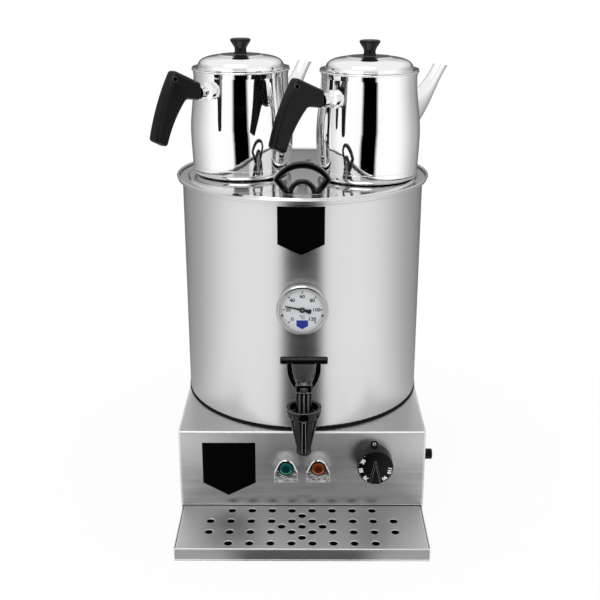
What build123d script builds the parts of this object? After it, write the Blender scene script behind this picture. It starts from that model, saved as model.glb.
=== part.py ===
# Electric tea boiler: a steel drum on a folded base, with a tap, a drip tray and two teapots on its lid.
# Millimetres, +Z up, -Y is the front. The origin is on the counter, under the middle of the drum.
from build123d import *
from math import atan2, cos, hypot, pi, radians, sin, sqrt
import os

os.makedirs("parts", exist_ok=True)

# ---------------------------------------------------------------------------------------------
# Driving sizes
# ---------------------------------------------------------------------------------------------
# Fits
flat_gap = 0.3            # between flat faces that slide past each other
curve_gap = 0.35          # between curved faces on pieces that move apart
running_fit = 0.05        # radial clearance of a shaft in its bore
screw_clearance = 0.1     # radial clearance round a screw or stud

# Base housing: one folded sheet that makes the front, top and sides
base_front_margin = 6.0   # front panel beyond the drum's wall
base_back_margin = 2.0    # back panel beyond the drum's wall
base_height = 110.0       # underside to top sheet
base_sheet = 1.2
bend_radius = 2.4
flange_width = 12.0
base_opening_inset = 65.0  # drum's wall to the edge of the opening under its floor

# Feet
foot_height = 8.0
foot_radius = 11.0
foot_taper = 1.5
foot_inset = 25.0         # side and back of the base to the middle of a foot
foot_setback = 66.0       # front panel to the front pair, behind the drip tray

# Drip tray
tray_reach = 95.0         # front panel to the front of the tray
tray_tuck = 40.0          # length of the pan that goes under the base
tray_top = 16.4           # counter to the top of the cover
tray_lift = 2.1           # counter to the underside of the pan
tray_side_gap = 1.0
tray_panel_gap = 0.8      # cover to the lower edge of the front panel
pan_sheet = 1.0
pan_front_height = 8.0
cover_sheet = 1.2
cover_side_gap = 0.8
cover_hem_radius = 0.9
runner_width = 16.0
runner_spacing = 120.0
runner_reach = 34.0
drip_hole_radius = 4.9
drip_pitch_x = 24.5
drip_pitch_y = 23.7
drip_first_row = 11.7     # front panel to the first row of holes
drip_columns = (8, 10, 10, 8)
drip_extra_columns = (1, 3, 1)

# Drum
drum_radius = 150.0
drum_wall = 1.0
drum_floor = 1.2
drum_height = 278.5       # underside of the floor to the underside of the rim's ledge
drum_corner = 2.6
rim_reach = 7.0           # drum wall to the outside of the rolled edge
rim_rise = 5.9            # underside of the ledge to the top of the rolled edge
rim_bead_radius = 1.6
rim_bend = 1.6
gasket_thickness = 1.8
gasket_width = 12.0
gasket_proud = 0.8
floor_hole_radius = 26.0

# Studs that are welded under the drum's floor, and their nuts
stud_radius = 3.0
stud_length = 16.0
drum_stud_inset = 38.0    # drum's wall to the studs that hold it to the base
heater_stud_circle = 32.0
nut_flats = 10.0
nut_height = 5.0

# Heating element
element_radius = 4.0
element_rise = 26.0       # floor of the drum to the middle of the loop
element_half_width = 84.0
element_leg_offset = 12.0
element_bend = 12.0
element_corner = 55.0
element_tail = 14.0
heater_flange_radius = 39.0
heater_flange_thickness = 4.0
heater_gasket_thickness = 2.0

# Lid
lid_sheet = 1.0
lid_brim_width = 12.4     # flat edge of the lid outside its raised middle
lid_step = 2.3
lid_step_run = 2.5
lid_collar_depth = 10.0
lid_collar_gap = 0.8
lid_vent_radius = 4.4
lid_vent_x = 8.0
lid_vent_y = 75.0

# Lid handle: an upright fan-shaped loop over a screwed bracket
loop_y = -123.0
loop_height = 38.0
loop_half_width = 33.0
loop_shoulder = 17.5
loop_foot_half_width = 24.0
loop_thickness = 9.0
loop_bar = 7.4
loop_foot_bar = 5.2
loop_hub_half_width = 10.5
loop_hub_height = 11.0
loop_edge = 2.0
bracket_depth = 8.0
bracket_height = 9.5
bracket_pad_radius = 13.0
bracket_pad_thickness = 1.4

# Tap
tap_x = 2.0               # the tap's hole is a little right of the drum's middle
tap_reach = 40.0          # drum wall to the middle of the spout
tap_cup_top = 168.0       # all tap heights are above the counter
tap_cup_floor = 158.0
tap_step_top = 156.5
tap_bottom = 107.5
tap_cup_radius = 20.6
tap_cup_bore = 17.2
tap_step_radius = 17.6
tap_cone_top_radius = 16.6
tap_cone_low_radius = 8.7
tap_cone_low = 116.0
tap_mouth_radius = 7.6
tap_bore_radius = 6.0
tap_seat_height = 138.0
tap_chamber_radius = 10.5
tap_chamber_top = 154.0
tap_shank_height = 146.0
tap_shank_radius = 10.5
tap_shank_bore = 5.0
tap_shank_inside = 16.0   # length of shank inside the drum wall
tap_collar_radius = 15.0
tap_collar_length = 5.0
tap_washer_thickness = 2.0
tap_nut_flats = 28.0
tap_nut_thickness = 6.0
tap_rib_width = 4.0
tap_rib_depth = 1.6
bonnet_width = 18.6
bonnet_depth = 14.0
bonnet_top = 188.3
bonnet_groove = 1.2
stem_radius = 3.0
stem_head_top = 197.0
stem_rise = 3.8           # lift of the stem with the lever fully over
seat_radius = 8.0
seat_cup_height = 10.0
lever_block_top = 197.8
lever_pin_height = 193.4
lever_pin_radius = 1.5
lever_bar_height = 226.0
lever_bar_radius = 4.4
lever_bar_length = 54.6
lever_arm_width = 5.6
lever_arm_depth = 8.0
lever_arm_spread = 16.2   # middle of the tap to the middle of an arm, at the bar
lever_slot_gap = 0.4

# Dial thermometer
gauge_height = 275.7
gauge_radius = 30.2
gauge_depth = 11.0
gauge_standoff = 1.8
gauge_bezel_width = 3.4
gauge_bezel_depth = 4.5
gauge_case_wall = 0.8
gauge_dial_thickness = 0.6
gauge_glass_thickness = 1.4
gauge_dial_setback = 5.1  # front of the bezel to the back of the dial
gauge_boss_radius = 8.5
gauge_thread_radius = 6.0
gauge_probe_radius = 3.5
gauge_probe_length = 45.0
gauge_nut_flats = 18.0
gauge_nut_thickness = 5.0
pointer_length = 20.5
pointer_tail = 9.0
pointer_thickness = 0.5
pointer_reading = 25.7    # degrees Celsius
dial_span_degrees = 270.0
dial_full_scale = 120.0

# Pilot lamps
lamp_spacing = 39.0
lamp_height = 75.0
lamp_width = 29.0
lamp_depth = 12.0
lamp_drop = 20.0          # lens middle to the straight lower edge
lamp_shoulder = 5.5       # lens middle down to the shoulder
lamp_arch_radius = 10.8
lamp_collar_radius = 9.3
lamp_lens_radius = 7.9
lamp_lens_crown = 2.4
lamp_edge = 1.6
lamp_body_radius = 7.0
lamp_body_length = 24.0

# Thermostat and knob
knob_x = 88.2
knob_z = 78.7
knob_radius = 21.7
knob_depth = 17.0
knob_gap = 1.0            # panel to the back of the knob
knob_wall = 2.2
knob_grip_height = 4.6
knob_grip_half_width = 7.4
knob_grip_apex = 12.5
knob_hub_radius = 6.0
spindle_radius = 3.0
spindle_depth = 14.0      # length of spindle inside the thermostat
spindle_engagement = 11.0
thermostat_width = 36.0
thermostat_height = 32.0
thermostat_depth = 40.0
thermostat_neck_radius = 5.0
bulb_radius = 3.0
bulb_length = 80.0
bulb_y = -62.0
capillary_radius = 1.0

# Limit thermostat on the right side, with its reset button under a screwed cap
limit_y = -121.0
limit_z = 70.0
limit_size = 30.0
limit_depth = 25.0
limit_neck_radius = 5.0
limit_neck_length = 7.0
limit_nut_flats = 14.0
limit_nut_thickness = 2.4
reset_button_radius = 2.6
reset_button_proud = 1.4
reset_travel = 1.5
reset_cap_radius = 6.6
reset_cap_length = 9.8
reset_cap_bore_depth = 7.6

# Mains side
gland_x = -110.0
gland_z = 34.0
gland_bore = 4.2
gland_thread_radius = 8.8
gland_flats = 22.0
gland_hex_length = 5.0
gland_dome_length = 15.0
gland_nut_thickness = 5.0
terminal_length = 42.0
terminal_width = 18.0
terminal_height = 16.0
terminal_x = -90.0
terminal_y = 95.0
terminal_ways = 3

# Panel screws and vents
screw_radius = 2.0
screw_head_radius = 3.8
screw_head_height = 2.0
screw_length = 7.0
vent_width = 3.0
vent_length = 34.0
vent_pitch = 9.0
vent_rows = 5

# Teapots
pot_height = 129.0
pot_base_radius = 61.2
pot_belly_radius = 62.7
pot_neck_radius = 57.6
pot_rim_radius = 59.8
pot_wall = 0.9
pot_floor = 6.0
pot_base_round = 8.0
pot_base_seam = 13.0
pot_bead_radius = 1.2
pot_belly_height = 60.0
pot_neck_drop = 8.0       # rim down to the neck
pot_left = (-75.0, -2.0, 36.0, 107.0)     # x, y, handle angle and height of the handle's screw
pot_right = (79.5, -25.0, 47.0, 100.0)
pot_lid_crown = 15.5
pot_lid_ledge = 4.6      # flat edge of the lid outside its dome
pot_lid_sheet = 0.9
pot_knob_height = 18.5
pot_knob_radius = 12.4
pot_knob_waist = 7.0
pot_knob_foot = 8.0

# Teapot handle, as radius from the pot's axis and height above the handle's screw
grip_thickness = 15.0
grip_edge = 5.0
grip_start = 79.0
grip_start_top = 12.0
grip_start_low = -8.5
grip_corner = (121.0, 29.5)
grip_outer_bow = (144.0, -9.0)
grip_tip_outer = (157.5, -45.0)
grip_tip_inner = (138.5, -54.0)
grip_inner_bow = (122.0, -24.0)
grip_armpit = (104.0, -4.5)
grip_hole = (123.0, 20.0)
grip_hole_radius = 2.6
ferrule_disc_radius = 10.5
ferrule_disc_thickness = 2.2
ferrule_neck_radius = 6.0
ferrule_collar_radius = 8.6

# Teapot spout: radius from the pot's axis, height, tilt from horizontal, half height and half width
spout_root = (54.0, 66.0, 8.0, 30.0, 17.0)
spout_low = (86.0, 79.0, 36.0, 17.5, 12.0)
spout_mid = (108.0, 97.5, 47.0, 11.0, 9.0)
spout_high = (124.0, 116.0, 50.0, 8.4, 8.0)
spout_end = (137.0, 131.0, 46.0, 9.4, 8.4)
spout_wall = 0.9
spout_mouth_back = (116.0, 128.5)
spout_mouth_lip = (152.0, 121.5)
strainer_hole_radius = 2.0
strainer_pitch = 7.0

# ---------------------------------------------------------------------------------------------
# Levels and places that follow from the sizes above
# ---------------------------------------------------------------------------------------------
base_width = 2 * drum_radius
base_front = drum_radius + base_front_margin
base_back = drum_radius + base_back_margin
base_opening_radius = drum_radius - base_opening_inset
drum_stud_circle = drum_radius - drum_stud_inset
feet_span = base_width - 2 * foot_inset
feet_front = base_front - foot_setback
feet_back = base_back - foot_inset - 1.0
base_bottom = foot_height
base_top = base_bottom + base_height
base_inner_half = base_width / 2 - base_sheet
front_inner_y = -base_front + base_sheet
back_inner_y = base_back - base_sheet
plate_top = base_bottom + base_sheet
flange_top = plate_top + base_sheet

tray_front_y = -(base_front + tray_reach)
tray_back_y = -base_front + tray_tuck
tray_half = base_inner_half - tray_side_gap
plate_front_y = tray_back_y + 4.0
cover_half = tray_half - pan_sheet - cover_side_gap
cover_back_y = -base_front - curve_gap
skirt_inner_y = tray_front_y + cover_sheet
panel_bottom = tray_top + tray_panel_gap

drum_bottom = base_top + gasket_thickness
drum_inside_floor = drum_bottom + drum_floor
drum_inner_radius = drum_radius - drum_wall
ledge_bottom = drum_bottom + drum_height
ledge_top = ledge_bottom + drum_wall
rim_centre_r = drum_radius + rim_reach - rim_bead_radius
rim_centre_z = ledge_bottom + rim_rise - rim_bead_radius
rim_lip_r = rim_centre_r + drum_wall / 2

lid_under = ledge_top + flat_gap
lid_radius = rim_centre_r - rim_bead_radius - curve_gap
lid_plateau_radius = lid_radius - lid_brim_width
lid_plateau_top = lid_under + lid_sheet + lid_step

tap_y = -(drum_radius + tap_reach)
gauge_back_y = -(drum_radius + gauge_standoff)
gauge_front_y = gauge_back_y - gauge_depth
lamp_xs = (-lamp_spacing / 2, lamp_spacing / 2)

BOTTOM = (Align.CENTER, Align.CENTER, Align.MIN)


# ---------------------------------------------------------------------------------------------
# Shop helpers
# ---------------------------------------------------------------------------------------------
def save(name, shape):
    export_step(shape, f"parts/{name}.step")


def block(x0, x1, y0, y1, z0, z1):
    """A box between two corners."""
    return Pos((x0 + x1) / 2, (y0 + y1) / 2, (z0 + z1) / 2) * Box(x1 - x0, y1 - y0, z1 - z0)


def spin(points):
    """A closed outline of (radius, height) points turned round the Z axis."""
    return revolve(Plane.XZ * make_face(Polyline(*points, close=True)), Axis.Z)


def post(radius, z0, z1, x=0.0, y=0.0):
    """An upright round bar."""
    return Pos(x, y, z0) * Cylinder(radius, z1 - z0, align=BOTTOM)


def facing_front(x, y, z):
    """A working plane that looks out of the front: local x is right, local y is up, local z is forward."""
    return Plane(origin=(x, y, z), x_dir=(1, 0, 0), z_dir=(0, -1, 0))


def facing_right(x, y, z):
    """A working plane on the right side: local z points to the right."""
    return Plane(origin=(x, y, z), x_dir=(0, 1, 0), z_dir=(1, 0, 0))


def facing_back(x, y, z):
    """A working plane that looks out of the back."""
    return Plane(origin=(x, y, z), x_dir=(-1, 0, 0), z_dir=(0, 1, 0))


def bar(plane, radius, length):
    """A round bar that stands on a working plane."""
    return plane * Cylinder(radius, length, align=BOTTOM)


def hexagon(plane, flats, length):
    """A hexagonal bar that stands on a working plane."""
    return extrude(plane * RegularPolygon(flats / sqrt(3), 6), length)


def around(radius, count):
    """Places on a circle, as (x, y), the first half a step from the X axis."""
    steps = [2 * pi * (i + 0.5) / count for i in range(count)]
    return [(radius * cos(a), radius * sin(a)) for a in steps]


# ---------------------------------------------------------------------------------------------
# Base
# ---------------------------------------------------------------------------------------------
panel_screw_spots = [(x, z) for x in (-1, 1) for z in (flange_top + 14.0, base_top - 22.0)]
panel_screw_x = base_inner_half - flange_width / 2
plate_screw_spots = [
    (sx * panel_screw_x, y) for sx in (-1, 1) for y in (plate_front_y + 12.0, base_back - 22.0)
]


def make_base_housing():
    half = base_width / 2
    shell = block(-half, half, -base_front, base_back, base_bottom, base_top)
    front_edges = shell.edges().filter_by(Axis.Z).group_by(Axis.Y)[0]
    top_edges = shell.faces().sort_by(Axis.Z)[-1].edges()
    folds = front_edges + [e for e in top_edges if e.center().Y < base_back - 1]
    shell = fillet(folds, bend_radius)
    shell -= block(
        -base_inner_half, base_inner_half, front_inner_y, base_back, base_bottom, base_top - base_sheet,
    )
    shell -= block(-base_inner_half, base_inner_half, -base_front, front_inner_y, base_bottom, panel_bottom)
    for side in (-1, 1):
        inner = side * base_inner_half
        lip = side * (base_inner_half - flange_width)
        x0, x1 = min(inner, lip), max(inner, lip)
        shell += block(x0, x1, plate_front_y, back_inner_y, plate_top, flange_top)
        shell += block(x0, x1, back_inner_y - base_sheet, back_inner_y, flange_top, base_top - base_sheet)
    shell -= post(base_opening_radius, base_top - base_sheet, base_top)
    clear_stud = stud_radius + screw_clearance
    for x, y in around(drum_stud_circle, 4):
        shell -= post(clear_stud, base_top - base_sheet, base_top, x, y)
    for x in lamp_xs:
        shell -= bar(
            facing_front(x, front_inner_y, lamp_height), lamp_body_radius + screw_clearance, base_sheet,
        )
    neck_clear = thermostat_neck_radius + screw_clearance
    shell -= bar(facing_front(knob_x, front_inner_y, knob_z), neck_clear, base_sheet)
    side_plane = facing_right(base_inner_half, limit_y, limit_z)
    shell -= bar(side_plane, limit_neck_radius + screw_clearance, base_sheet)
    clear_screw = screw_radius + screw_clearance
    for x, y in plate_screw_spots:
        shell -= post(clear_screw, plate_top, flange_top, x, y)
    for sx, z in panel_screw_spots:
        shell -= bar(facing_back(sx * panel_screw_x, back_inner_y - base_sheet, z), clear_screw, base_sheet)
    return shell


def make_back_panel():
    edge = base_inner_half - flat_gap
    panel = block(
        -edge, edge, back_inner_y, base_back, plate_top + flat_gap, base_top - base_sheet - flat_gap,
    )
    slot = SlotOverall(vent_length, vent_width)
    for side in (-1, 1):
        for row in range(vent_rows):
            z = (base_bottom + base_top) / 2 + (row - (vent_rows - 1) / 2) * vent_pitch
            centre = facing_back(side * vent_length, back_inner_y, z + vent_pitch)
            panel -= extrude(centre * slot, base_sheet)
    panel -= bar(
        facing_back(gland_x, back_inner_y, gland_z), gland_thread_radius + screw_clearance, base_sheet,
    )
    for sx, z in panel_screw_spots:
        spot = facing_back(sx * panel_screw_x, back_inner_y, z)
        panel -= bar(spot, screw_radius + screw_clearance, base_sheet)
    return panel


def make_bottom_plate():
    edge = base_inner_half - flat_gap
    plate = block(-edge, edge, plate_front_y, back_inner_y - flat_gap, base_bottom, plate_top)
    for x, y in plate_screw_spots:
        plate -= post(screw_radius + screw_clearance, base_bottom, plate_top, x, y)
    slot = Rot(0, 0, 90) * SlotOverall(vent_length, vent_width)
    for side in (-1, 1):
        for row in range(vent_rows):
            place = Pos(side * 55.0 + (row - (vent_rows - 1) / 2) * vent_pitch, 20.0, base_bottom)
            plate -= extrude(place * slot, base_sheet)
    return plate


def make_feet():
    recess_radius = foot_radius * 0.4
    recess_depth = foot_height * 0.45
    foot = spin([
        (0, recess_depth), (recess_radius, recess_depth), (recess_radius, 0), (foot_radius - foot_taper, 0),
        (foot_radius, foot_height), (0, foot_height),
    ])
    spots = [(sx * feet_span / 2, y) for sx in (-1, 1) for y in (-feet_front, feet_back)]
    return Part() + [Pos(x, y, 0) * foot for x, y in spots]


def make_base_screws():
    screw = Cylinder(screw_radius, screw_length, align=BOTTOM)
    head = Pos(0, 0, screw_length) * Cylinder(screw_head_radius, screw_head_height, align=BOTTOM)
    screw = screw + fillet(head.edges().group_by(Axis.Z)[-1], screw_head_height * 0.45)
    screw_top = Pos(0, 0, screw_length + screw_head_height * 0.5)
    screw -= screw_top * Box(screw_radius * 2.2, 0.8, screw_head_height)
    screws = []
    for sx, z in panel_screw_spots:
        screws.append(facing_back(sx * panel_screw_x, base_back - screw_length, z) * screw)
    for x, y in plate_screw_spots:
        screws.append(Pos(x, y, base_bottom + screw_length) * Rot(180, 0, 0) * screw)
    return Part() + screws


def make_tray_runners():
    """Z brackets under the front of the bottom plate. The pan slides on their lower legs."""
    low = tray_lift - flat_gap - base_sheet
    step_y = plate_front_y + base_sheet
    runners = []
    for side in (-1, 1):
        x0 = side * runner_spacing / 2 - runner_width / 2
        x1 = x0 + runner_width
        leg = block(x0, x1, plate_front_y - runner_reach, step_y, low, low + base_sheet)
        riser = block(x0, x1, plate_front_y, step_y, low, base_bottom)
        tab = block(x0, x1, plate_front_y, step_y + runner_width, base_bottom - base_sheet, base_bottom)
        runners.append(leg + riser + tab)
    return Part() + runners


# ---------------------------------------------------------------------------------------------
# Drip tray
# ---------------------------------------------------------------------------------------------
def make_drip_pan():
    pan_front_y = skirt_inner_y + flat_gap
    pan = block(-tray_half, tray_half, pan_front_y, tray_back_y, tray_lift, tray_top)
    pan -= block(
        -tray_half + pan_sheet, tray_half - pan_sheet, pan_front_y + pan_sheet, tray_back_y - pan_sheet,
        tray_lift + pan_sheet, tray_top,
    )
    front_top = tray_lift + pan_front_height
    pan -= block(
        -tray_half + pan_sheet, tray_half - pan_sheet, pan_front_y, pan_front_y + pan_sheet, front_top,
        tray_top,
    )
    pan -= block(
        -tray_half, tray_half, -base_front, tray_back_y, tray_top - cover_sheet - tray_panel_gap, tray_top,
    )
    return pan


def drip_holes():
    """Rows of holes at half-pitch columns, with a few more holes between the rows in the middle."""
    spots = []
    for row, count in enumerate(drip_columns):
        y = -base_front - drip_first_row - row * drip_pitch_y
        spots += [((i - (count - 1) / 2) * drip_pitch_x, y) for i in range(count)]
    for row, count in enumerate(drip_extra_columns):
        y = -base_front - drip_first_row - (row + 0.5) * drip_pitch_y
        spots += [((i - (count - 1) / 2) * drip_pitch_x, y) for i in range(count)]
    return spots


def make_drip_cover():
    under = tray_top - cover_sheet
    leg_bottom = tray_lift + pan_sheet + flat_gap
    skirt_bottom = tray_lift - flat_gap - base_sheet + cover_hem_radius
    cover = block(-cover_half, cover_half, skirt_inner_y, cover_back_y, under, tray_top)
    for side in (-1, 1):
        x0, x1 = sorted((side * cover_half, side * (cover_half - cover_sheet)))
        leg_front_y = skirt_inner_y + pan_sheet + 3 * flat_gap
        cover += block(x0, x1, leg_front_y, cover_back_y, leg_bottom, under)
    cover += block(-tray_half, tray_half, tray_front_y, skirt_inner_y, skirt_bottom, tray_top)
    fold = cover.edges().filter_by(Axis.X).group_by(Axis.Y)[0].sort_by(Axis.Z)[-1]
    cover = fillet(fold, bend_radius * 0.7)
    hem_plane = facing_right(-tray_half, skirt_inner_y - cover_hem_radius, skirt_bottom)
    cover += bar(hem_plane, cover_hem_radius, 2 * tray_half)
    for x, y in drip_holes():
        cover -= post(drip_hole_radius, under, tray_top, x, y)
    return cover


# ---------------------------------------------------------------------------------------------
# Drum
# ---------------------------------------------------------------------------------------------
def make_drum_gasket():
    outer = drum_radius + gasket_proud
    inner = drum_radius - gasket_width
    return spin([(inner, base_top), (outer, base_top), (outer, drum_bottom), (inner, drum_bottom)])


def make_boiler_tank():
    """One drawn shell: a flat floor, a straight wall, a ledge for the lid and a lip with a rolled edge."""
    outline = Polyline(
        (0, drum_bottom), (drum_radius, drum_bottom), (drum_radius, ledge_bottom),
        (rim_lip_r, ledge_bottom),
        (rim_lip_r, rim_centre_z), (rim_lip_r - drum_wall, rim_centre_z),
        (rim_lip_r - drum_wall, ledge_top),
        (drum_inner_radius, ledge_top), (drum_inner_radius, drum_inside_floor), (0, drum_inside_floor),
        close=True,
    )
    skin = make_face(outline)
    bends = skin.vertices().filter_by(lambda v: abs(v.Y - ledge_bottom) < 0.01)
    skin = fillet(bends, rim_bend)
    outside_corner = skin.vertices().group_by(Axis.Y)[0].sort_by(Axis.X)[-1]
    skin = fillet(outside_corner, drum_corner)
    inside_corner = skin.vertices().filter_by(
        lambda v: abs(v.Y - drum_inside_floor) < 0.01
    ).sort_by(Axis.X)[-1]
    skin = fillet(inside_corner, drum_corner - drum_wall)
    skin += Pos(rim_centre_r, rim_centre_z) * Circle(rim_bead_radius)
    tank = revolve(Plane.XZ * skin, Axis.Z)
    tank -= bar(
        facing_front(tap_x, -drum_radius + 10, tap_shank_height), tap_shank_radius + screw_clearance, 20,
    )
    tank -= bar(facing_front(0, -drum_radius + 10, gauge_height), gauge_thread_radius + screw_clearance, 20)
    tank -= post(floor_hole_radius, drum_bottom, drum_inside_floor)
    return tank


def make_floor_studs():
    drum_studs = [
        post(stud_radius, drum_bottom - stud_length, drum_bottom, x, y)
        for x, y in around(drum_stud_circle, 4)
    ]
    heater_studs = [
        post(stud_radius, drum_bottom - stud_length, drum_bottom, x, y)
        for x, y in around(heater_stud_circle, 4)
    ]
    return Part() + drum_studs + heater_studs


def make_stud_nuts():
    bore = stud_radius + running_fit
    heater_level = drum_bottom - heater_gasket_thickness - heater_flange_thickness
    places = [(x, y, base_top - base_sheet) for x, y in around(drum_stud_circle, 4)]
    places += [(x, y, heater_level) for x, y in around(heater_stud_circle, 4)]
    nut = hexagon(Plane.XY, nut_flats, nut_height) - Cylinder(bore, nut_height, align=BOTTOM)
    return Part() + [Pos(x, y, z - nut_height) * nut for x, y, z in places]


def make_heater_gasket():
    top = drum_bottom
    ring = post(heater_flange_radius, top - heater_gasket_thickness, top)
    ring -= post(floor_hole_radius, top - heater_gasket_thickness, top)
    for x, y in around(heater_stud_circle, 4):
        ring -= post(stud_radius + screw_clearance, top - heater_gasket_thickness, top, x, y)
    return ring


def make_heater_flange():
    top = drum_bottom - heater_gasket_thickness
    low = top - heater_flange_thickness
    disc = post(heater_flange_radius, low, top)
    for x, y in around(heater_stud_circle, 4):
        disc -= post(stud_radius + screw_clearance, low, top, x, y)
    for side in (-1, 1):
        disc -= post(
            element_radius + screw_clearance, low, top, element_leg_offset, side * element_leg_offset,
        )
    return disc


def make_heater_element():
    level = drum_inside_floor + element_rise
    tail = drum_bottom - heater_gasket_thickness - heater_flange_thickness - element_tail
    side = element_leg_offset
    wide = element_half_width
    path = FilletPolyline(
        (side, side, tail), (side, side, level), (wide, side, level), (wide, wide, level),
        (-wide, wide, level),
        (-wide, -wide, level), (wide, -wide, level), (wide, -side, level), (side, -side, level),
        (side, -side, tail),
        radius=[
            element_bend, element_bend, element_corner, element_corner, element_corner, element_corner,
            element_bend, element_bend,
        ],
    )
    section = Plane(origin=path @ 0, z_dir=path % 0) * Circle(element_radius)
    return sweep(section, path=path)


# ---------------------------------------------------------------------------------------------
# Lid of the drum
# ---------------------------------------------------------------------------------------------
def make_boiler_lid():
    brim_top = lid_under + lid_sheet
    plateau_under = lid_plateau_top - lid_sheet
    step_foot = lid_plateau_radius + lid_step_run
    outer = spin([
        (0, lid_under), (lid_radius, lid_under), (lid_radius, brim_top), (step_foot, brim_top),
        (lid_plateau_radius, lid_plateau_top), (0, lid_plateau_top),
    ])
    hollow = spin([
        (0, lid_under - 1), (step_foot - lid_sheet, lid_under - 1), (step_foot - lid_sheet, lid_under),
        (lid_plateau_radius - lid_sheet, plateau_under), (0, plateau_under),
    ])
    lid = outer - hollow
    collar_outer = drum_inner_radius - lid_collar_gap
    collar_inner = collar_outer - lid_sheet
    collar_low = lid_under - lid_collar_depth
    lid += spin([
        (collar_inner, collar_low), (collar_outer, collar_low), (collar_outer, lid_under),
        (collar_inner, lid_under),
    ])
    lid -= post(lid_vent_radius, plateau_under, lid_plateau_top, lid_vent_x, lid_vent_y)
    return lid


def make_lid_handle():
    """A fan-shaped loop: a wide arch, two sides that close in, and a hub arched over the bracket."""
    foot = bracket_pad_thickness
    crown = ThreePointArc(
        (-loop_half_width, loop_shoulder), (0, loop_height), (loop_half_width, loop_shoulder),
    )
    rest = Polyline(
        (loop_half_width, loop_shoulder), (loop_foot_half_width, foot + loop_bar / 2),
        (loop_foot_half_width - 4, foot),
        (-loop_foot_half_width + 4, foot), (-loop_foot_half_width, foot + loop_bar / 2),
        (-loop_half_width, loop_shoulder),
    )
    outer = make_face([crown, rest])
    inner_side = loop_half_width - loop_bar
    inner_foot = loop_foot_half_width - loop_bar * 1.1
    inner_low = foot + loop_bar / 2 + 1.5
    hub_top = loop_hub_height + foot + loop_foot_bar
    top_arch = ThreePointArc(
        (-inner_side, loop_shoulder + 1), (0, loop_height - loop_bar), (inner_side, loop_shoulder + 1),
    )
    right = Line((inner_side, loop_shoulder + 1), (inner_foot, inner_low))
    hub_arch = ThreePointArc((inner_foot, inner_low), (0, hub_top), (-inner_foot, inner_low))
    left = Line((-inner_foot, inner_low), (-inner_side, loop_shoulder + 1))
    window = make_face([top_arch, right, hub_arch, left])
    seat_low = Line((-loop_hub_half_width, foot), (loop_hub_half_width, foot))
    seat_top = ThreePointArc(
        (loop_hub_half_width, foot), (0, foot + loop_hub_height), (-loop_hub_half_width, foot),
    )
    seat = make_face([seat_low, seat_top])
    flat = outer - window - seat
    solid = extrude(facing_front(0, loop_y, lid_plateau_top) * flat, loop_thickness / 2, both=True)
    long_edges = [e for e in solid.edges() if abs(e.center().Y - loop_y) > loop_thickness / 2 - 0.01]
    upper = [e for e in long_edges if e.center().Z > lid_plateau_top + foot + 0.5]
    return fillet(upper, loop_edge)


def make_handle_bracket():
    """A grey bracket that fills the hub, on a pad, held by a screw from under the lid."""
    pad_top = lid_plateau_top + bracket_pad_thickness
    pad = Pos(0, loop_y, lid_plateau_top) * extrude(
        Ellipse(bracket_pad_radius, bracket_pad_radius * 0.8), bracket_pad_thickness,
    )
    width = loop_hub_half_width * 0.62
    top_width = width * 0.75
    face = make_face(Polyline(
        (-width, 0), (width, 0), (top_width, bracket_height), (-top_width, bracket_height), close=True,
    ))
    face = fillet(face.vertices().group_by(Axis.Y)[-1], 2.0)
    riser = extrude(facing_front(0, loop_y, pad_top) * face, bracket_depth / 2, both=True)
    return pad + riser


# ---------------------------------------------------------------------------------------------
# Tap
# ---------------------------------------------------------------------------------------------
def make_tap_body():
    cone = spin([
        (0, tap_bottom), (tap_mouth_radius, tap_bottom), (tap_cone_low_radius, tap_bottom + 1.5),
        (tap_cone_low_radius, tap_cone_low), (tap_cone_top_radius, tap_step_top - 3),
        (tap_step_radius, tap_step_top),
        (tap_cup_radius - 1.4, tap_cup_floor), (tap_cup_radius, tap_cup_top - 4),
        (tap_cup_radius, tap_cup_top),
        (0, tap_cup_top),
    ])
    rib_face = make_face(Polyline(
        (-tap_cone_low_radius - tap_rib_depth, tap_cone_low - 4), (0, tap_cone_low - 4), (0, tap_step_top),
        (-tap_step_radius - tap_rib_depth, tap_step_top), close=True,
    ))
    rib_plane = Plane(origin=(0, 0, 0), x_dir=(0, 1, 0), z_dir=(1, 0, 0))
    rib = extrude(rib_plane * rib_face, tap_rib_width / 2, both=True)
    body = cone + rib
    body = Pos(tap_x, tap_y, 0) * body
    shank_end_y = -drum_inner_radius + tap_shank_inside
    shank_plane = facing_front(tap_x, shank_end_y, tap_shank_height)
    body += bar(shank_plane, tap_shank_radius, shank_end_y - tap_y)
    collar_plane = facing_front(tap_x, -drum_radius - tap_washer_thickness, tap_shank_height)
    body += bar(collar_plane, tap_collar_radius, tap_collar_length)
    body -= post(tap_cup_bore, tap_cup_floor, tap_cup_top, tap_x, tap_y)
    body -= post(tap_chamber_radius, tap_seat_height, tap_chamber_top, tap_x, tap_y)
    body -= post(stem_radius + running_fit, tap_chamber_top, tap_cup_floor, tap_x, tap_y)
    body -= post(tap_bore_radius, tap_bottom, tap_seat_height, tap_x, tap_y)
    body -= bar(shank_plane, tap_shank_bore, shank_end_y - tap_y)
    return body


def make_tap_washer():
    plane = facing_front(tap_x, -drum_radius, tap_shank_height)
    ring = bar(plane, tap_collar_radius, tap_washer_thickness)
    ring -= bar(plane, tap_shank_radius + screw_clearance, tap_washer_thickness)
    return ring - post(
        drum_radius, tap_shank_height - 2 * tap_collar_radius, tap_shank_height + 2 * tap_collar_radius,
    )


def make_tap_shank_nut():
    flat_y = -sqrt(drum_inner_radius ** 2 - (tap_nut_flats / sqrt(3)) ** 2)
    plane = facing_front(tap_x, flat_y + tap_nut_thickness, tap_shank_height)
    nut = hexagon(plane, tap_nut_flats, tap_nut_thickness)
    return nut - bar(plane, tap_shank_radius + running_fit, tap_nut_thickness)


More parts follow.
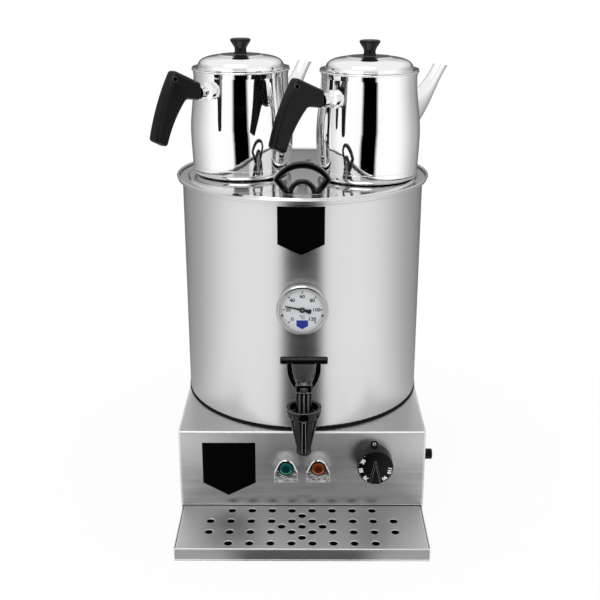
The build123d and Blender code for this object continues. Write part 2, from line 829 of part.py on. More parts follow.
def make_tap_bonnet():
    """The slotted block that stands in the cup, bored for the stem."""
    half_w = bonnet_width / 2
    half_d = bonnet_depth / 2
    bonnet = block(
        tap_x - half_w, tap_x + half_w, tap_y - half_d, tap_y + half_d, tap_cup_floor, bonnet_top,
    )
    bonnet = fillet(bonnet.edges().filter_by(Axis.Z), 2.0)
    for offset in (-0.55, 0.0, 0.55):
        x = tap_x + offset * half_w
        for y in (tap_y - half_d, tap_y + half_d):
            bonnet -= block(
                x - bonnet_groove / 2, x + bonnet_groove / 2, y - bonnet_groove, y + bonnet_groove,
                tap_cup_floor + 3, bonnet_top - 2,
            )
    return bonnet - post(stem_radius + running_fit, tap_cup_floor, bonnet_top, tap_x, tap_y)


def make_tap_stem():
    seat_top = tap_seat_height + seat_cup_height
    stem = post(stem_radius, seat_top - 3, stem_head_top, tap_x, tap_y)
    eye = bar(
        facing_right(tap_x - stem_radius * 2, tap_y, lever_pin_height), lever_pin_radius, stem_radius * 4,
    )
    return stem - eye


def make_tap_seat_cup():
    """The silicone cup on the stem's foot that closes the spout's bore."""
    low = tap_seat_height
    top = low + seat_cup_height
    cup = spin([
        (0, low), (tap_bore_radius - 1.5, low), (seat_radius, low + 1.5), (seat_radius, low + 6),
        (stem_radius + 2.0, top), (0, top),
    ])
    socket = post(stem_radius, top - 3, top)
    return Pos(tap_x, tap_y, 0) * (cup - socket)


def make_tap_pin():
    return bar(
        facing_right(tap_x - bonnet_width / 2 + 1, tap_y, lever_pin_height), lever_pin_radius,
        bonnet_width - 2,
    )


def make_tap_lever():
    """A fork: a slotted block on the pin, two arms that open like a glass, and a cross bar."""
    block_low = bonnet_top + flat_gap
    half_w = bonnet_width / 2
    half_d = bonnet_depth / 2 - 0.6
    lever = block(
        tap_x - half_w, tap_x + half_w, tap_y - half_d, tap_y + half_d, block_low, lever_block_top,
    )
    lever = fillet(lever.edges().filter_by(Axis.Z), 1.5)
    shoulder = lever_block_top - 4
    bulge = (lever_block_top + lever_bar_height) / 2
    outer_top = lever_arm_spread + lever_arm_width / 2
    inner_top = lever_arm_spread - lever_arm_width / 2
    for side in (-1, 1):
        outside = ThreePointArc(
            (side * (half_w - 1), block_low + 1.5), (side * (outer_top - 0.2), bulge),
            (side * outer_top, lever_bar_height),
        )
        inside = ThreePointArc(
            (side * (half_w - 3.5), shoulder), (side * (inner_top - 0.9), bulge + 1),
            (side * inner_top, lever_bar_height),
        )
        across = Line((side * outer_top, lever_bar_height), (side * inner_top, lever_bar_height))
        root = Line((side * (half_w - 3.5), shoulder), (side * (half_w - 1), block_low + 1.5))
        arm = make_face([outside, across, inside, root])
        lever += extrude(facing_front(tap_x, tap_y, 0) * arm, lever_arm_depth / 2, both=True)
    cross = bar(
        facing_right(tap_x - lever_bar_length / 2, tap_y, lever_bar_height), lever_bar_radius,
        lever_bar_length,
    )
    lever += fillet(cross.edges(), lever_bar_radius * 0.45)
    slot = stem_radius + lever_slot_gap
    lever -= block(tap_x - slot, tap_x + slot, tap_y - half_d, tap_y + half_d, block_low, lever_block_top)
    eye_plane = facing_right(tap_x - bonnet_width / 2 + 1 - flat_gap, tap_y, lever_pin_height)
    lever -= bar(eye_plane, lever_pin_radius + running_fit, bonnet_width - 2 + 2 * flat_gap)
    bridge_low = lever_pin_height + lever_slot_gap
    return lever + block(
        tap_x - slot, tap_x + slot, tap_y - half_d, tap_y - half_d + lever_pin_radius, bridge_low,
        lever_block_top,
    )


# ---------------------------------------------------------------------------------------------
# Dial thermometer
# ---------------------------------------------------------------------------------------------
def make_gauge_case():
    """The case with its boss, thread and probe, which are welded to its back in one piece."""
    plane = facing_front(0, gauge_back_y, gauge_height)
    outer = gauge_radius - gauge_case_wall
    case = bar(plane, outer, gauge_depth - gauge_bezel_depth)
    cavity_plane = facing_front(0, gauge_back_y - gauge_case_wall, gauge_height)
    case -= bar(cavity_plane, outer - gauge_case_wall, gauge_depth)
    tip_y = -drum_inner_radius + gauge_probe_length
    case += bar(facing_front(0, tip_y, gauge_height), gauge_probe_radius, tip_y - gauge_back_y)
    thread_length = drum_wall + gauge_nut_thickness + 4
    case += bar(
        facing_front(0, -drum_radius + thread_length, gauge_height), gauge_thread_radius, thread_length,
    )
    return case + bar(facing_front(0, -drum_radius, gauge_height), gauge_boss_radius, gauge_standoff)


def make_gauge_bezel():
    """A rolled ring round the front of the case."""
    low = gauge_depth - gauge_bezel_depth
    window = gauge_radius - gauge_bezel_width
    wall = gauge_case_wall
    lip = gauge_depth - wall
    profile = make_face(Polyline(
        (gauge_radius - wall, low - 2), (gauge_radius, low - 2), (gauge_radius, gauge_depth - 1.6),
        (gauge_radius - 1.6, gauge_depth), (window, gauge_depth - 0.6), (window, lip - 0.6),
        (gauge_radius - 2 * wall, lip - 0.6), (gauge_radius - 2 * wall, low), (gauge_radius - wall, low),
        close=True,
    ))
    ring = revolve(Plane.XZ * profile, Axis.Z)
    return facing_front(0, gauge_back_y, gauge_height) * ring


def make_gauge_glass():
    level = gauge_depth - gauge_case_wall - 0.6 - gauge_glass_thickness
    plane = facing_front(0, gauge_back_y - level, gauge_height)
    return bar(plane, gauge_radius - 2 * gauge_case_wall - running_fit, gauge_glass_thickness)


def make_gauge_dial():
    level = dial_level()
    plane = facing_front(0, gauge_back_y - level, gauge_height)
    disc = bar(plane, gauge_radius - 2 * gauge_case_wall - running_fit, gauge_dial_thickness)
    return disc - bar(plane, pointer_hub_radius() + running_fit, gauge_dial_thickness)


def dial_level():
    """Depth of the dial's back, measured forward from the back of the case."""
    return gauge_depth - gauge_dial_setback


def pointer_hub_radius():
    return gauge_probe_radius * 0.45


def make_gauge_pointer():
    """A needle with a broad tail, on a short arbor through the dial."""
    level = dial_level() + gauge_dial_thickness + curve_gap
    angle = (pointer_reading / dial_full_scale - 0.5) * dial_span_degrees
    needle = make_face(Polyline(
        (-0.9, 0), (-0.2, pointer_length), (0.2, pointer_length), (0.9, 0), (2.0, -pointer_tail),
        (-2.0, -pointer_tail),
        close=True,
    ))
    plane = facing_front(0, gauge_back_y - level, gauge_height)
    blade = extrude(plane * (Rot(0, 0, -angle) * needle), pointer_thickness)
    blade += bar(plane, pointer_hub_radius() * 1.7, pointer_thickness + 0.4)
    arbor_plane = facing_front(0, gauge_back_y - level + 3.0, gauge_height)
    return blade + bar(arbor_plane, pointer_hub_radius(), 3.0)


def make_gauge_nut():
    flat_y = -sqrt(drum_inner_radius ** 2 - (gauge_nut_flats / sqrt(3)) ** 2)
    plane = facing_front(0, flat_y + gauge_nut_thickness, gauge_height)
    return hexagon(plane, gauge_nut_flats, gauge_nut_thickness) - bar(
        plane, gauge_thread_radius + running_fit, gauge_nut_thickness,
    )


# ---------------------------------------------------------------------------------------------
# Pilot lamps
# ---------------------------------------------------------------------------------------------
def lamp_outline(grow):
    """Front view of a lamp housing: straight foot, shoulders and an arch round the lens."""
    half = lamp_width / 2 + grow
    arch = lamp_arch_radius + grow
    low = -lamp_drop - grow
    lean = 0.35
    tangent = (arch * cos(lean), arch * sin(lean))
    crown = ThreePointArc(tangent, (0, arch), (-tangent[0], tangent[1]))
    rest = Polyline(
        (-tangent[0], tangent[1]), (-half, -lamp_shoulder), (-half, low), (half, low),
        (half, -lamp_shoulder), tangent,
    )
    return make_face([crown, rest])


def make_lamp_bezels():
    bezels = []
    for x in lamp_xs:
        plane = facing_front(x, -base_front, lamp_height)
        shell = extrude(plane * lamp_outline(0), lamp_depth)
        rim = shell.edges().filter_by(lambda e: abs(e.center().Y + base_front + lamp_depth) < 0.01)
        shell = chamfer(rim, lamp_edge * 0.6)
        shell -= bar(plane, lamp_collar_radius, lamp_depth)
        bezels.append(shell)
    return Part() + bezels


def make_lamp_collars():
    collars = []
    for x in lamp_xs:
        plane = facing_front(x, -base_front, lamp_height)
        ring = bar(plane, lamp_collar_radius, lamp_depth + 0.8)
        collars.append(ring - bar(plane, lamp_lens_radius, lamp_depth + 0.8))
    return Part() + collars


def make_lamp_lens(x):
    plane = facing_front(x, -base_front, lamp_height)
    lens = bar(plane, lamp_lens_radius, lamp_depth + lamp_lens_crown)
    edge = lens.edges().filter_by(GeomType.CIRCLE).sort_by(Axis.Y)[0]
    return fillet(edge, lamp_lens_crown * 0.95)


def make_lamp_bodies():
    bodies = []
    for x in lamp_xs:
        plane = facing_front(x, -base_front + lamp_body_length, lamp_height)
        socket = bar(plane, lamp_body_radius, lamp_body_length)
        flange_plane = facing_front(x, front_inner_y + 1.5, lamp_height)
        bodies.append(socket + bar(flange_plane, lamp_body_radius + 2.5, 1.5))
    return Part() + bodies


# ---------------------------------------------------------------------------------------------
# Thermostat and knob
# ---------------------------------------------------------------------------------------------
def make_thermostat_body():
    half_w = thermostat_width / 2
    half_h = thermostat_height / 2
    body = block(
        knob_x - half_w, knob_x + half_w, front_inner_y, front_inner_y + thermostat_depth, knob_z - half_h,
        knob_z + half_h,
    )
    body = chamfer(body.edges().filter_by(Axis.Y), 4.0)
    neck_plane = facing_front(knob_x, front_inner_y, knob_z)
    body += bar(neck_plane, thermostat_neck_radius, base_sheet)
    bore_plane = facing_front(knob_x, front_inner_y + spindle_depth + flat_gap, knob_z)
    return body - bar(bore_plane, spindle_radius + running_fit, spindle_depth + flat_gap + base_sheet)


def make_thermostat_bulb():
    """The sensing bulb under the drum's floor, with the capillary back to the thermostat."""
    bulb_z = drum_bottom - bulb_radius - flat_gap
    start_x = -bulb_length / 2
    bulb = Pos(start_x, bulb_y, bulb_z) * Rot(0, 90, 0) * Cylinder(bulb_radius, bulb_length, align=BOTTOM)
    back_y = front_inner_y + thermostat_depth
    low_z = knob_z + thermostat_height / 4
    drop_x = bulb_length / 2 + 12
    path = FilletPolyline(
        (bulb_length / 2, bulb_y, bulb_z), (drop_x, bulb_y, bulb_z), (drop_x, bulb_y, low_z),
        (knob_x, bulb_y, low_z),
        (knob_x, back_y, low_z), radius=[8.0, 8.0, 8.0],
    )
    section = Plane(origin=path @ 0, z_dir=path % 0) * Circle(capillary_radius)
    return bulb + sweep(section, path=path)


def make_thermostat_spindle():
    length = spindle_depth + base_sheet + knob_gap + spindle_engagement
    return bar(facing_front(knob_x, front_inner_y + spindle_depth, knob_z), spindle_radius, length)


def make_thermostat_knob():
    """A hollow moulded knob with a wedge-shaped grip that points to the index."""
    back_y = -base_front - knob_gap
    plane = facing_front(knob_x, back_y, knob_z)
    knob = bar(plane, knob_radius, knob_depth)
    front_edge = knob.edges().filter_by(GeomType.CIRCLE).sort_by(Axis.Y)[0]
    knob = fillet(front_edge, 1.2)
    knob -= bar(plane, knob_radius - knob_wall, knob_depth - knob_wall)
    knob += bar(plane, knob_hub_radius, knob_depth - knob_wall)
    face_plane = facing_front(knob_x, back_y - knob_depth, knob_z)
    low = -sqrt(knob_radius ** 2 - knob_grip_half_width ** 2) + 0.4
    wedge = make_face(
        Polyline((0, knob_grip_apex), (-knob_grip_half_width, low), (knob_grip_half_width, low), close=True)
    )
    wedge = fillet(wedge.vertices().group_by(Axis.Y)[-1], 1.0)
    grip = extrude(face_plane * wedge, knob_grip_height, taper=14)
    grip += extrude(face_plane * wedge, -knob_wall / 2)
    knob += grip
    return knob - bar(plane, spindle_radius + running_fit, spindle_engagement + flat_gap)


# ---------------------------------------------------------------------------------------------
# Limit thermostat, reset button and cap
# ---------------------------------------------------------------------------------------------
def limit_plane(x):
    return facing_right(x, limit_y, limit_z)


def make_limit_thermostat():
    half = limit_size / 2
    x1 = base_inner_half
    body = block(x1 - limit_depth, x1, limit_y - half, limit_y + half, limit_z - half, limit_z + half)
    body = chamfer(body.edges().filter_by(Axis.X), 3.0)
    body += bar(limit_plane(x1), limit_neck_radius, base_sheet + limit_neck_length)
    bore_start = x1 - limit_depth / 2
    return body - bar(limit_plane(bore_start), reset_button_radius + running_fit, limit_depth)


def make_limit_nut():
    plane = limit_plane(base_width / 2)
    return hexagon(plane, limit_nut_flats, limit_nut_thickness) - bar(
        plane, limit_neck_radius + running_fit, limit_nut_thickness,
    )


def make_reset_button():
    start = base_inner_half - limit_depth / 2 + reset_travel + flat_gap
    end = base_width / 2 + limit_neck_length + reset_button_proud
    return bar(limit_plane(start), reset_button_radius, end - start)


def make_reset_cap():
    start = base_width / 2 + limit_nut_thickness + flat_gap
    cap = bar(limit_plane(start), reset_cap_radius, reset_cap_length)
    cap = chamfer(cap.edges().filter_by(GeomType.CIRCLE).sort_by(Axis.X)[-1], 0.8)
    return cap - bar(limit_plane(start), limit_neck_radius + curve_gap, reset_cap_bore_depth)


# ---------------------------------------------------------------------------------------------
# Mains side
# ---------------------------------------------------------------------------------------------
def make_cable_gland():
    plane = facing_back(gland_x, base_back, gland_z)
    gland = hexagon(plane, gland_flats, gland_hex_length)
    dome_plane = facing_back(gland_x, base_back + gland_hex_length, gland_z)
    dome = bar(dome_plane, gland_flats / 2 - 1, gland_dome_length)
    gland += fillet(dome.edges().filter_by(GeomType.CIRCLE).sort_by(Axis.Y)[-1], 5.0)
    thread_length = base_sheet + gland_nut_thickness + 3
    gland += bar(
        facing_back(gland_x, base_back - thread_length, gland_z), gland_thread_radius, thread_length,
    )
    bore_length = thread_length + gland_hex_length + gland_dome_length
    return gland - bar(facing_back(gland_x, base_back - thread_length, gland_z), gland_bore, bore_length)


def make_gland_nut():
    plane = facing_back(gland_x, back_inner_y - gland_nut_thickness, gland_z)
    return hexagon(plane, gland_flats, gland_nut_thickness) - bar(
        plane, gland_thread_radius + running_fit, gland_nut_thickness,
    )


def make_terminal_block():
    half_l = terminal_length / 2
    half_w = terminal_width / 2
    block_top = plate_top + terminal_height
    body = block(
        terminal_x - half_l, terminal_x + half_l, terminal_y - half_w, terminal_y + half_w, plate_top,
        block_top,
    )
    pitch = terminal_length / terminal_ways
    for way in range(terminal_ways):
        x = terminal_x + (way - (terminal_ways - 1) / 2) * pitch
        body -= post(pitch * 0.22, block_top - terminal_height / 2, block_top, x, terminal_y)
    for way in range(terminal_ways - 1):
        x = terminal_x + (way - (terminal_ways - 2) / 2) * pitch
        body -= block(x - 0.8, x + 0.8, terminal_y - half_w, terminal_y + half_w, block_top - 3, block_top)
    return body


# ---------------------------------------------------------------------------------------------
# Teapots: made on the Z axis with the handle towards -Y, then turned and set on the lid
# ---------------------------------------------------------------------------------------------
handle_plane = Plane(origin=(0, 0, 0), x_dir=(0, -1, 0), z_dir=(-1, 0, 0))
spout_plane = Plane(origin=(0, 0, 0), x_dir=(0, 1, 0), z_dir=(1, 0, 0))


def pot_form(inset, floor):
    """The teapot's round form, closed on top, with its side moved in by inset and its bottom up by floor."""
    base_r = pot_base_radius - inset
    corner = max(pot_base_round - inset, 1.0)
    rim_z = pot_height - pot_bead_radius
    neck_z = pot_height - pot_neck_drop
    low = Line((0, floor), (base_r - corner, floor))
    round_mid = (base_r - corner * (1 - sin(pi / 4)), floor + corner * (1 - cos(pi / 4)))
    round_ = ThreePointArc((base_r - corner, floor), round_mid, (base_r, floor + corner))
    side = Spline(
        (base_r, floor + corner), (pot_belly_radius - inset, pot_belly_height),
        (pot_neck_radius - inset, neck_z),
        tangents=[(0.02, 1), (0, 1)],
    )
    lip = Line((pot_neck_radius - inset, neck_z), (pot_rim_radius - pot_bead_radius - inset, rim_z))
    top = Line((pot_rim_radius - pot_bead_radius - inset, rim_z), (0, rim_z))
    axis = Line((0, rim_z), (0, floor))
    return revolve(Plane.XZ * make_face([low, round_, side, lip, top, axis]), Axis.Z)


def spout_solid(shrink):
    """The spout as a horn lofted through ellipses, smaller by shrink all round."""
    sections = []
    for r, z, tilt, half_height, half_width in (spout_root, spout_low, spout_mid, spout_high, spout_end):
        a = radians(tilt)
        station = Plane(origin=(0, r, z), x_dir=(1, 0, 0), z_dir=(0, cos(a), sin(a)))
        sections.append(station * Ellipse(half_width - shrink, half_height - shrink))
    return loft(sections)


def make_pot_body(outside, inside):
    body = outside - inside
    body += Pos(0, 0, pot_height - pot_bead_radius) * Torus(
        pot_rim_radius - pot_bead_radius, pot_bead_radius,
    )
    groove_r = pot_base_radius + 0.4
    groove = spin([
        (groove_r - 0.7, pot_base_seam - 0.5), (groove_r + 3, pot_base_seam - 0.5),
        (groove_r + 3, pot_base_seam + 0.5),
        (groove_r - 0.7, pot_base_seam + 0.5),
    ])
    body -= groove
    centre = Plane(origin=(0, 0, spout_root[1]), x_dir=(1, 0, 0), z_dir=(0, 1, 0))
    spots = [(0.0, 0.0)] + around(strainer_pitch, 6)
    for x, z in spots:
        hole = Plane(origin=(x, 0, spout_root[1] + z), x_dir=(1, 0, 0), z_dir=(0, 1, 0))
        body -= bar(hole, strainer_hole_radius, pot_belly_radius + 5)
    return body


def make_pot_spout(outside):
    horn = spout_solid(0) - spout_solid(spout_wall)
    back, lip = spout_mouth_back, spout_mouth_lip
    tilt = atan2(lip[1] - back[1], lip[0] - back[0])
    mouth = Plane(origin=(0, back[0], back[1]), x_dir=(1, 0, 0), z_dir=(0, -sin(tilt), cos(tilt)))
    horn -= mouth * Cylinder(lip[0] - back[0] + spout_root[3], spout_root[3], align=BOTTOM)
    return horn - outside


def make_pot_ferrule(outside, height):
    """Chrome ferrule: a disc on the pot, a neck, and a collar that holds the grip."""
    end = grip_start
    disc_end = pot_belly_radius + ferrule_disc_thickness
    collar_start = end - 8.0
    profile = Polyline(
        (0, pot_neck_radius - 3), (ferrule_disc_radius, pot_neck_radius - 3),
        (ferrule_disc_radius, disc_end - 1),
        (ferrule_neck_radius, disc_end + 1.5), (ferrule_neck_radius, collar_start - 1),
        (ferrule_collar_radius, collar_start + 1),
        (ferrule_collar_radius, end), (0, end), close=True,
    )
    turned = revolve(Plane.XZ * make_face(profile), Axis.Z)
    axis_plane = Plane(origin=(0, 0, height), x_dir=(1, 0, 0), z_dir=(0, -1, 0))
    return axis_plane * turned - outside


def make_pot_handle(height):
    """A moulded grip: a short arm, a square shoulder with a hanging hole, and a long outward grip."""
    def at(point):
        return (point[0], point[1] + height)

    butt_top = at((grip_start, grip_start_top))
    butt_low = at((grip_start, grip_start_low))
    top = Line(butt_top, at(grip_corner))
    outer = ThreePointArc(at(grip_corner), at(grip_outer_bow), at(grip_tip_outer))
    tip = Line(at(grip_tip_outer), at(grip_tip_inner))
    inner = ThreePointArc(at(grip_tip_inner), at(grip_inner_bow), at(grip_armpit))
    under = Line(at(grip_armpit), butt_low)
    face = make_face([top, outer, tip, inner, under, Line(butt_low, butt_top)])

    def corner_at(point):
        x, y = at(point)
        return min(face.vertices(), key=lambda v: hypot(v.X - x, v.Y - y))

    face = fillet([corner_at(grip_corner)], 4.0)
    face = fillet([corner_at(grip_armpit)], 9.0)
    face = fillet([corner_at(grip_tip_outer)], 4.0)
    face = fillet([corner_at(grip_tip_inner)], 3.0)
    face = fillet([corner_at((grip_start, grip_start_top)), corner_at((grip_start, grip_start_low))], 4.0)
    grip = extrude(handle_plane * face, grip_thickness / 2, both=True)
    faces = [f for f in grip.faces() if abs(abs(f.center().X) - grip_thickness / 2) < 0.01]
    rims = [e for f in faces for e in f.edges() if abs(e.center().Y + grip_start) > 0.5]
    grip = fillet(rims, grip_edge)
    hole_r, hole_z = at(grip_hole)
    hole = handle_plane * Pos(hole_r, hole_z, -grip_thickness) * Cylinder(
        grip_hole_radius, 2 * grip_thickness, align=BOTTOM,
    )
    return grip - hole


def dome(offset):
    """The domed part of a teapot lid, from its flange to its crown, as a solid of revolution."""
    low = pot_height + curve_gap
    rise = pot_lid_crown
    start = (pot_neck_radius - pot_lid_ledge - offset, low)
    crown = (0.0, low + rise - offset)
    curve = Spline(
        start, (start[0] * 0.88, low + rise * 0.66 - offset), (start[0] * 0.55, low + rise * 0.94 - offset),
        crown,
        tangents=[(-0.12, 1), (-1, 0)],
    )
    return revolve(Plane.XZ * make_face([curve, Line(crown, (0, low)), Line((0, low), start)]), Axis.Z)


def make_pot_lid():
    """A drawn lid: dome, flange from the dome's foot to the rim bead, and a collar inside the neck."""
    low = pot_height + curve_gap
    flange_r = pot_rim_radius - 0.6
    foot_r = pot_neck_radius - pot_lid_ledge - pot_lid_sheet
    inner_r = pot_neck_radius - pot_wall - curve_gap
    collar_r = inner_r - pot_lid_sheet
    lid = dome(0) - dome(pot_lid_sheet)
    rim_top = low + pot_lid_sheet
    lid += spin([(foot_r, low), (flange_r, low), (flange_r, rim_top), (foot_r, rim_top)])
    collar_low = low - pot_neck_drop
    lid += spin([(collar_r, collar_low), (inner_r, collar_low), (inner_r, low), (collar_r, low)])
    return lid


def make_pot_knob():
    """A waisted moulded knob on the crown of the lid."""
    low = pot_height + curve_gap + pot_lid_crown
    top = low + pot_knob_height
    foot_low = low - 0.9
    side = Spline(
        (pot_knob_foot, foot_low + 1.2), (pot_knob_waist, low + pot_knob_height * 0.3),
        (pot_knob_radius, top - 2.6),
        tangents=[(-0.3, 1), (0.5, 1)],
    )
    profile = [
        Line((0, foot_low), (pot_knob_foot, foot_low)),
        Line((pot_knob_foot, foot_low), (pot_knob_foot, foot_low + 1.2)),
        side,
        ThreePointArc(
            (pot_knob_radius, top - 2.6), (pot_knob_radius - 0.5, top - 0.8),
            (pot_knob_radius - 2.2, top - 0.2),
        ),
        Line((pot_knob_radius - 2.2, top - 0.2), (0, top)), Line((0, top), (0, foot_low)),
    ]
    knob = revolve(Plane.XZ * make_face(profile), Axis.Z)
    return knob - dome(0)


def make_teapot(handle_height):
    outside = pot_form(0, 0)
    inside = pot_form(pot_wall, pot_floor)
    return {
        "body": make_pot_body(outside, inside),
        "spout": make_pot_spout(outside),
        "ferrule": make_pot_ferrule(outside, handle_height),
        "handle": make_pot_handle(handle_height),
        "lid": make_pot_lid(),
        "knob": make_pot_knob(),
    }


# ---------------------------------------------------------------------------------------------
# Write every piece
# ---------------------------------------------------------------------------------------------
save("base_housing", make_base_housing())
save("base_back_panel", make_back_panel())
save("base_bottom_plate", make_bottom_plate())
save("base_feet", make_feet())
save("base_screws", make_base_screws())
save("tray_runners", make_tray_runners())

save("drip_pan", make_drip_pan())
save("drip_cover", make_drip_cover())

save("drum_gasket", make_drum_gasket())
save("boiler_tank", make_boiler_tank())
save("floor_studs", make_floor_studs())
save("stud_nuts", make_stud_nuts())
save("heater_gasket", make_heater_gasket())
save("heater_flange", make_heater_flange())
save("heater_element", make_heater_element())

save("boiler_lid", make_boiler_lid())
save("lid_handle", make_lid_handle())
save("lid_handle_bracket", make_handle_bracket())

save("tap_body", make_tap_body())
save("tap_washer", make_tap_washer())
save("tap_shank_nut", make_tap_shank_nut())
save("tap_bonnet", make_tap_bonnet())
save("tap_stem", make_tap_stem())
save("tap_seat_cup", make_tap_seat_cup())
save("tap_pin", make_tap_pin())
save("tap_lever", make_tap_lever())

save("gauge_case", make_gauge_case())
save("gauge_bezel", make_gauge_bezel())
save("gauge_glass", make_gauge_glass())
save("gauge_dial", make_gauge_dial())
save("gauge_pointer", make_gauge_pointer())
save("gauge_nut", make_gauge_nut())

save("lamp_bezels", make_lamp_bezels())
save("lamp_collars", make_lamp_collars())
save("lamp_lens_green", make_lamp_lens(lamp_xs[0]))
save("lamp_lens_orange", make_lamp_lens(lamp_xs[1]))
save("lamp_bodies", make_lamp_bodies())

save("thermostat_body", make_thermostat_body())
save("thermostat_bulb", make_thermostat_bulb())
save("thermostat_spindle", make_thermostat_spindle())
save("thermostat_knob", make_thermostat_knob())
save("limit_thermostat", make_limit_thermostat())
save("limit_nut", make_limit_nut())
save("reset_button", make_reset_button())
save("reset_cap", make_reset_cap())

save("cable_gland", make_cable_gland())
save("cable_gland_nut", make_gland_nut())
save("terminal_block", make_terminal_block())

for name, (x, y, handle_angle, handle_height) in (("left", pot_left), ("right", pot_right)):
    place = Pos(x, y, lid_plateau_top) * Rot(0, 0, -handle_angle)
    for piece, shape in make_teapot(handle_height).items():
        save(f"teapot_{name}_{piece}", place * shape)
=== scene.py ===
from math import cos, pi, radians, sin

import bmesh
import bpy
from mathutils import Matrix, Vector


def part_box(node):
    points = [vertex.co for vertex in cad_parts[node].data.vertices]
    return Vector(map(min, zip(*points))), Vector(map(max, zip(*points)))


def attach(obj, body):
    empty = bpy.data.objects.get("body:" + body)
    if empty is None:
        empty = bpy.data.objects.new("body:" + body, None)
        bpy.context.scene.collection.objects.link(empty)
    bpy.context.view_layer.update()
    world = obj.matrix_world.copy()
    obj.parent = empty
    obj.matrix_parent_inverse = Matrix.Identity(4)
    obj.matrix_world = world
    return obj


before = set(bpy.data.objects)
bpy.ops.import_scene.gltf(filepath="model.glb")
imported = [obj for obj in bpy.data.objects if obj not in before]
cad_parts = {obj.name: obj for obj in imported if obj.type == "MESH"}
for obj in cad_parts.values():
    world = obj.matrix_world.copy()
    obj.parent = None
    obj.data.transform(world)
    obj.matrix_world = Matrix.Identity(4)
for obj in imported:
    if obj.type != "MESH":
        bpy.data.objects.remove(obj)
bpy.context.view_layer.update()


# ---------------------------------------------------------------------------------------------
# Base housing
# A box folded from 1.2 mm stainless sheet, ground with a fine belt before folding, so a faint grain
# runs up the front panel and on across the top. Its corners are tight folds with a painted
# highlight along their edges, and painted shade darkens the front panel towards its foot.
# ---------------------------------------------------------------------------------------------
def plug(tree, inlet, source):
    """Links a socket to its source where that is an outlet; otherwise sets its value."""
    if isinstance(source, bpy.types.NodeSocket):
        tree.links.new(source, inlet)
    else:
        inlet.default_value = source


def add_node(tree, kind, settings=(), **sockets):
    """One node; settings are its own properties, sockets the sources of its inputs by name."""
    node = tree.nodes.new(kind)
    for name, value in dict(settings).items():
        setattr(node, name, value)
    for name, source in sockets.items():
        plug(tree, node.inputs[name.replace("_", " ")], source)
    return node


def reckon(tree, operation, *sources, kind="ShaderNodeMath"):
    """The outlets of a math node on sources in their order."""
    node = add_node(tree, kind, {"operation": operation})
    for inlet, source in zip(node.inputs, sources):
        plug(tree, inlet, source)
    return node.outputs


def ease(tree, source, start, end, low=0.0, high=1.0, easing="SMOOTHSTEP"):
    """Goes from low to high while its source goes from start to end, and stays level outside."""
    return add_node(
        tree, "ShaderNodeMapRange", {"interpolation_type": easing},
        Value=source, From_Min=start, From_Max=end, To_Min=low, To_Max=high,
    ).outputs["Result"]


def blend(tree, share, low, high, kind="RGBA", ending="Color"):
    """Mixes two colours, or two numbers with the kind FLOAT and the ending Float."""
    node = add_node(tree, "ShaderNodeMix", {"data_type": kind})
    inlets = {inlet.identifier: inlet for inlet in node.inputs}
    plug(tree, inlets["Factor_Float"], share)
    plug(tree, inlets["A_" + ending], low)
    plug(tree, inlets["B_" + ending], high)
    return {outlet.identifier: outlet for outlet in node.outputs}["Result_" + ending]


def object_place(tree):
    """Where a point of the piece is, in metres, for patterns and masks."""
    return tree.nodes.new("ShaderNodeTexCoord").outputs["Object"]


def fed_by(inlet):
    """What a socket gets now: the outlet linked to it, or its value."""
    return inlet.links[0].from_socket if inlet.is_linked else tuple(inlet.default_value)


def grey(level):
    """A neutral colour, as a colour socket takes it."""
    return (level, level, level, 1)


def new_finish(name):
    """An empty material with its Principled shader wired to the output."""
    finish = bpy.data.materials.new(name)
    finish.use_nodes = True
    tree = finish.node_tree
    tree.nodes.clear()
    shader = tree.nodes.new("ShaderNodeBsdfPrincipled")
    add_node(tree, "ShaderNodeOutputMaterial", Surface=shader.outputs["BSDF"])
    return finish, tree, shader


def group_tree(name, inputs, outputs, kind="ShaderNodeTree"):
    """A node group with named sockets: (name, kind, default) in, (name, kind) out."""
    tree = bpy.data.node_groups.new(name, kind)
    for label, socket_kind, default in inputs:
        socket = tree.interface.new_socket(
            name=label, in_out="INPUT", socket_type="NodeSocket" + socket_kind
        )
        if default is not None:
            socket.default_value = default
    for label, socket_kind in outputs:
        tree.interface.new_socket(
            name=label, in_out="OUTPUT", socket_type="NodeSocket" + socket_kind
        )
    given = tree.nodes.new("NodeGroupInput").outputs
    return tree, given, tree.nodes.new("NodeGroupOutput").inputs


def make_belt_grain():
    """Hairlines of a grinding belt: noise drawn out along the grain, as a mask and as a normal."""
    tree, given, made = group_tree(
        "belt_grain",
        [
            ("Coordinate", "Vector", None), ("Lines per metre", "Vector", None),
            ("Depth", "Float", 0.1),
        ],
        [("Streak", "Float"), ("Normal", "Vector")],
    )
    drawn_out = reckon(
        tree, "MULTIPLY", given["Coordinate"], given["Lines per metre"], kind="ShaderNodeVectorMath"
    )
    streak = add_node(
        tree, "ShaderNodeTexNoise",
        Vector=drawn_out["Vector"], Scale=1.0, Detail=5.0, Roughness=0.62,
    ).outputs["Fac"]
    bump = add_node(tree, "ShaderNodeBump", Strength=given["Depth"], Distance=0.0004, Height=streak)
    plug(tree, made["Streak"], streak)
    plug(tree, made["Normal"], bump.outputs["Normal"])
    return tree


def make_handling_marks():
    """Faint cloudy marks that polishing and wiping leave on metal, as a mask from 0 to 1."""
    tree, given, made = group_tree(
        "handling_marks",
        [("Coordinate", "Vector", None), ("Size", "Float", 20.0)], [("Mark", "Float")],
    )
    cloud = add_node(
        tree, "ShaderNodeTexNoise",
        Vector=given["Coordinate"], Scale=given["Size"], Detail=3.0, Roughness=0.5,
    )
    plug(tree, made["Mark"], ease(tree, cloud.outputs["Fac"], 0.35, 0.7))
    return tree


